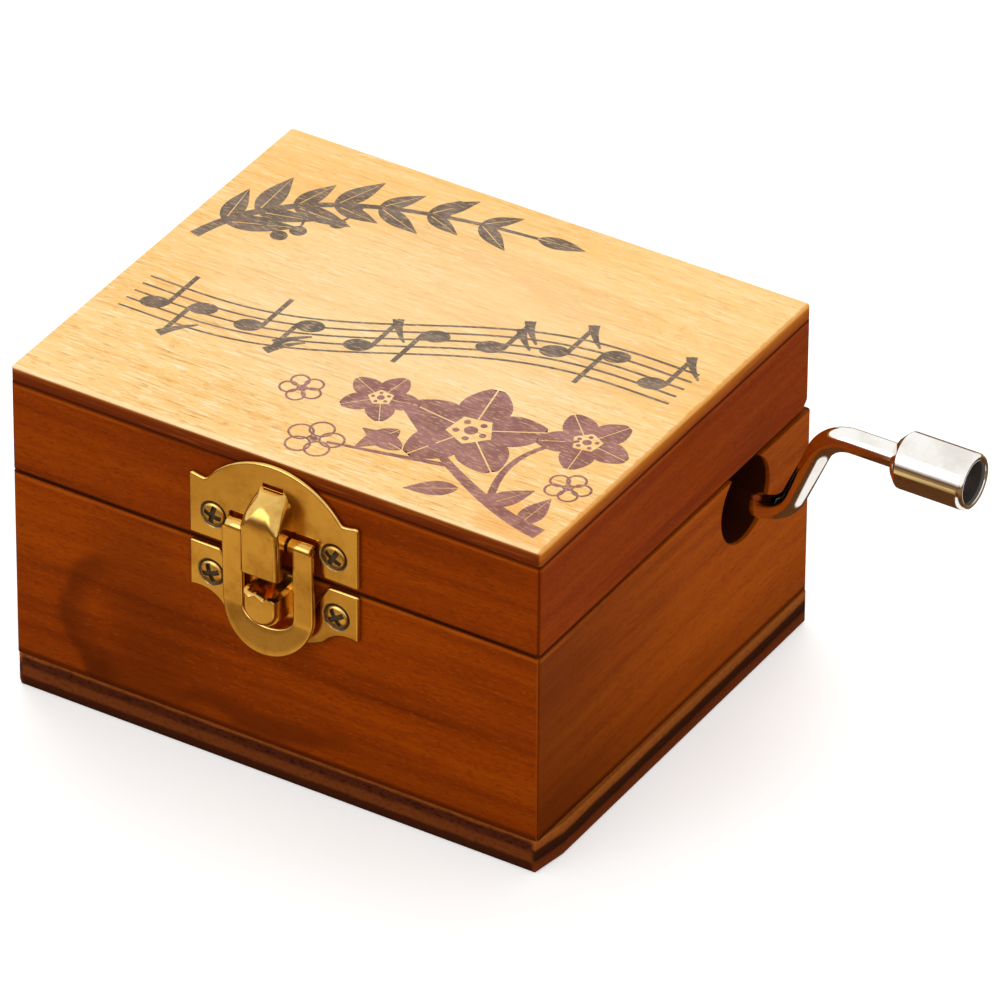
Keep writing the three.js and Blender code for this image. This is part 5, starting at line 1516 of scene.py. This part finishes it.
def make_movement():
    for name, node, edge, shortest, finish, slot in (
        ("cast_bedplate", "bedplate", 0.12, 0.5, "cast", "cast_zinc"),
        ("front_bearing", "front_arbor_bearing", 0.1, 0.5, "cast", "cast_zinc"),
        ("rear_bracket", "gear_bracket", 0.1, 0.5, "cast", "cast_zinc"),
        ("tuned_comb", "comb", 0.04, 1.5, "steel", "steel"),
    ):
        piece(name, copied(node, edge, shortest, 2), finish, "root", slot, node)
    drum = [(CYLINDER_RADIUS - DRUM_WALL, CYLINDER_FRONT), (CYLINDER_RADIUS - DRUM_EDGE, CYLINDER_FRONT)]
    drum += [(CYLINDER_RADIUS, CYLINDER_FRONT + DRUM_EDGE)]
    drum += [(radius, -y) for radius, y in drum[::-1]]
    pinned = grown(
        pin_tree(), set_down(turned(drum, 128), "back", (WHEEL_X, 0, ARBOR_Z)), tracks=TRACKS,
        pins_per_track=PINS_PER_TRACK, radius=CYLINDER_RADIUS, first=float(CYLINDER_FRONT),
        pitch=(CYLINDER_BACK - CYLINDER_FRONT) / (TRACKS + 1), track_turn=TRACK_TURN, pin_rise=PIN_RISE,
        finish=FINISHES["cylinder_brass"],
    )
    piece("pinned_drum", pinned, "cylinder_brass", "cylinder", "brass", "music_cylinder")
    groove = CAP_THICKNESS - 0.2
    cap = [(CAP_BORE, -CAP_PLUG_LENGTH), (CAP_PLUG_RADIUS, -CAP_PLUG_LENGTH), (CAP_PLUG_RADIUS, 0)]
    cap += [(CYLINDER_RADIUS, 0), (CYLINDER_RADIUS, CAP_THICKNESS - 0.12), (CYLINDER_RADIUS - 0.12, CAP_THICKNESS)]
    cap += [(3.2, CAP_THICKNESS), (3.0, groove), (2.2, groove), (2.0, CAP_THICKNESS), (CAP_BORE, CAP_THICKNESS)]
    for side, y, aim in (("front", CYLINDER_FRONT, "front"), ("rear", CYLINDER_BACK, "back")):
        mesh = set_down(turned(cap, 96), aim, (WHEEL_X, y, ARBOR_Z))
        piece(f"drum_cap_{side}", mesh, "plastic", "cylinder", "dark_plastic", f"cylinder_cap_{side}")
    low, high = (corner.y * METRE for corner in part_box("cylinder_arbor"))
    arbor = [(0, low), (SHAFT_RADIUS - SHAFT_TIP, low), (SHAFT_RADIUS, low + SHAFT_TIP)]
    arbor += [(SHAFT_RADIUS, high - SHAFT_TIP), (SHAFT_RADIUS - SHAFT_TIP, high), (0, high)]
    mesh = set_down(turned(arbor, 40), "back", (WHEEL_X, 0, ARBOR_Z))
    piece("drum_arbor", mesh, "steel", "cylinder", "steel", "cylinder_arbor")
    piece("brass_wheel", worm_wheel(), "cylinder_brass", "cylinder", "brass", "worm_wheel")
    piece("threaded_shaft", worm_shaft(), "steel", "crank", "steel", "worm_shaft")


def dress_kept_nodes():
    """CAD nodes whose shape is right get their finish only."""
    dress = {"hasp_pin": "screw_brass", "hinge_left_pin": "hinge_brass", "hinge_right_pin": "hinge_brass"}
    for node, finish in dress.items():
        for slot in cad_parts[node].material_slots:
            slot.material = FINISHES[finish]


# Floor, light and camera, in metres

FLOOR_HALF = 40
# The glowing sheet of painted reflections, seen by glossy rays only.
SHEET_HALF = 0.8
SHEET_LIFT = 0.00002
SHEET_TOP = 0.25


def floor_finish():
    """White where the camera or a gloss sees it, with the shadows kept."""
    finish = Finish("white_floor")
    plain = finish.add("ShaderNodeBsdfDiffuse", sockets={"Color": (0.8, 0.8, 0.8, 1)})
    glow = finish.add("ShaderNodeEmission", sockets={"Color": (1, 1, 1, 1), "Strength": 0.42})
    lit = finish.add("ShaderNodeAddShader", sockets={0: plain, 1: glow})
    return finish.show(finish.add("ShaderNodeMixShader", sockets={0: finish.seen(), 1: plain, 2: lit}))


def reflection_sheet_finish():
    """A glowing sheet that only a gloss sees, a painted reflection of a table: brown, tan before the latch, a pale
    painted highlight under the crank, and white up the sheet's rise.
    """
    finish = Finish("table_sheet")
    x, y = finish.along(0), finish.along(1)
    reach = span(x, y)
    patch = finish.noise((0.05, 0.02, 1.0), (3, 3, 3), detail=3.0)
    before = finish.step(y * -1.0, 36, 56) * finish.fall(x, 20, 52)
    warm = finish.ramp(patch, [(0.36, (0.46, 0.29, 0.11, 1)), (0.62, (0.86, 0.64, 0.29, 1))])
    brown = finish.blend(before, (0.10, 0.038, 0.012, 1), warm)
    # A pale painted highlight that the crank's wire reflects.
    crank_highlight = finish.band(x, 0, 46, 49, 66, 72) * finish.step(y, -34, -26)
    brown = finish.over(
        brown,
        (crank_highlight, (0.95, 0.93, 0.9, 1)),
        (finish.step(reach, 90, 130), (0.26, 0.15, 0.06, 1)),
        (finish.step(reach, 240, 420), (0.12, 0.06, 0.025, 1)),
        (finish.step(finish.along(2), 15, 250), (1, 1, 1, 1)),
    )
    finish.material.cycles.emission_sampling = "NONE"
    return finish.show(finish.add("ShaderNodeEmission", sockets={"Color": brown, "Strength": 1.0}))


def level(half, height):
    """The corners of a level square."""
    return [(-half, -half, height), (half, -half, height), (half, half, height), (-half, half, height)]


def make_stage():
    floor = shown("floor", mesh_from(level(FLOOR_HALF, 0), [(0, 1, 2, 3)]))
    floor.data.materials.append(floor_finish())
    sheet = level(SHEET_HALF, SHEET_LIFT) + level(SHEET_HALF, SHEET_TOP)[:2]
    glossy_card = shown("table_sheet", mesh_from(sheet, [(0, 1, 2, 3), (0, 4, 5, 1)]))
    glossy_card.data.materials.append(reflection_sheet_finish())
    # Only glossy rays see the sheet: it glows as painted reflections and lights nothing.
    glossy_card.visible_camera = glossy_card.visible_diffuse = glossy_card.visible_transmission = glossy_card.visible_shadow = False
    world = bpy.data.worlds.new("studio")
    scene.world = world
    world.use_nodes = True
    graph = Graph(world.node_tree)
    world.node_tree.nodes.clear()
    direction = graph.add("ShaderNodeTexCoord", output="Generated")
    height = graph.add("ShaderNodeSeparateXYZ", sockets={"Vector": direction}, output=2)
    room = graph.ramp(height, [
        (0.0, (0.60, 0.56, 0.50, 1)), (0.45, (0.84, 0.82, 0.78, 1)), (1.0, (0.75, 0.74, 0.72, 1)),
    ])
    soft = graph.add("ShaderNodeBackground", sockets={"Color": room, "Strength": 0.8})
    white = graph.add("ShaderNodeBackground", sockets={"Color": (1, 1, 1, 1), "Strength": 1.0})
    sky = graph.add("ShaderNodeMixShader", sockets={0: graph.seen(), 1: soft, 2: white})
    graph.add("ShaderNodeOutputWorld", sockets={"Surface": sky})
    lamp("top_softbox", (-0.30, 0.42, 0.78), size=0.7, power=3.6, shines=False)
    lamp("front_softbox", (-0.35, -0.95, 0.45), size=0.8, power=3.4, shines=True)
    lamp("right_softbox", (0.95, -0.2, 0.45), size=0.6, power=2.2, shines=False)


def lamp(name, place, size, power, shines):
    light = bpy.data.lights.new(name, "AREA")
    light.size = size
    light.energy = power
    made = shown(name, light)
    made.location = place
    made.rotation_euler = (Vector((0, 0, 0.02)) - Vector(place)).to_track_quat("-Z", "Y").to_euler()
    made.visible_glossy = shines


def make_camera():
    data = bpy.data.cameras.new("camera")
    data.sensor_width = SENSOR
    data.lens = CAMERA_FOCUS_PX / PICTURE_PX * SENSOR
    data.clip_start = 0.01
    data.clip_end = 100
    camera = shown("camera", data)
    turn = Matrix.Rotation(CAMERA_TURN, 3, "Z") @ Matrix.Rotation(math.pi / 2 - CAMERA_LIFT, 3, "X")
    turn = turn @ Matrix.Rotation(CAMERA_ROLL, 3, "Z")
    place = (CAMERA_TARGET + turn.col[2] * CAMERA_DISTANCE) / METRE
    camera.matrix_world = Matrix.Translation(place) @ turn.to_4x4()
    scene.camera = camera


scene.view_settings.view_transform = "Standard"
make_boards()
make_print()
make_latch()
make_screws()
make_hinges()
make_crank()
make_movement()
dress_kept_nodes()
make_stage()
make_camera()
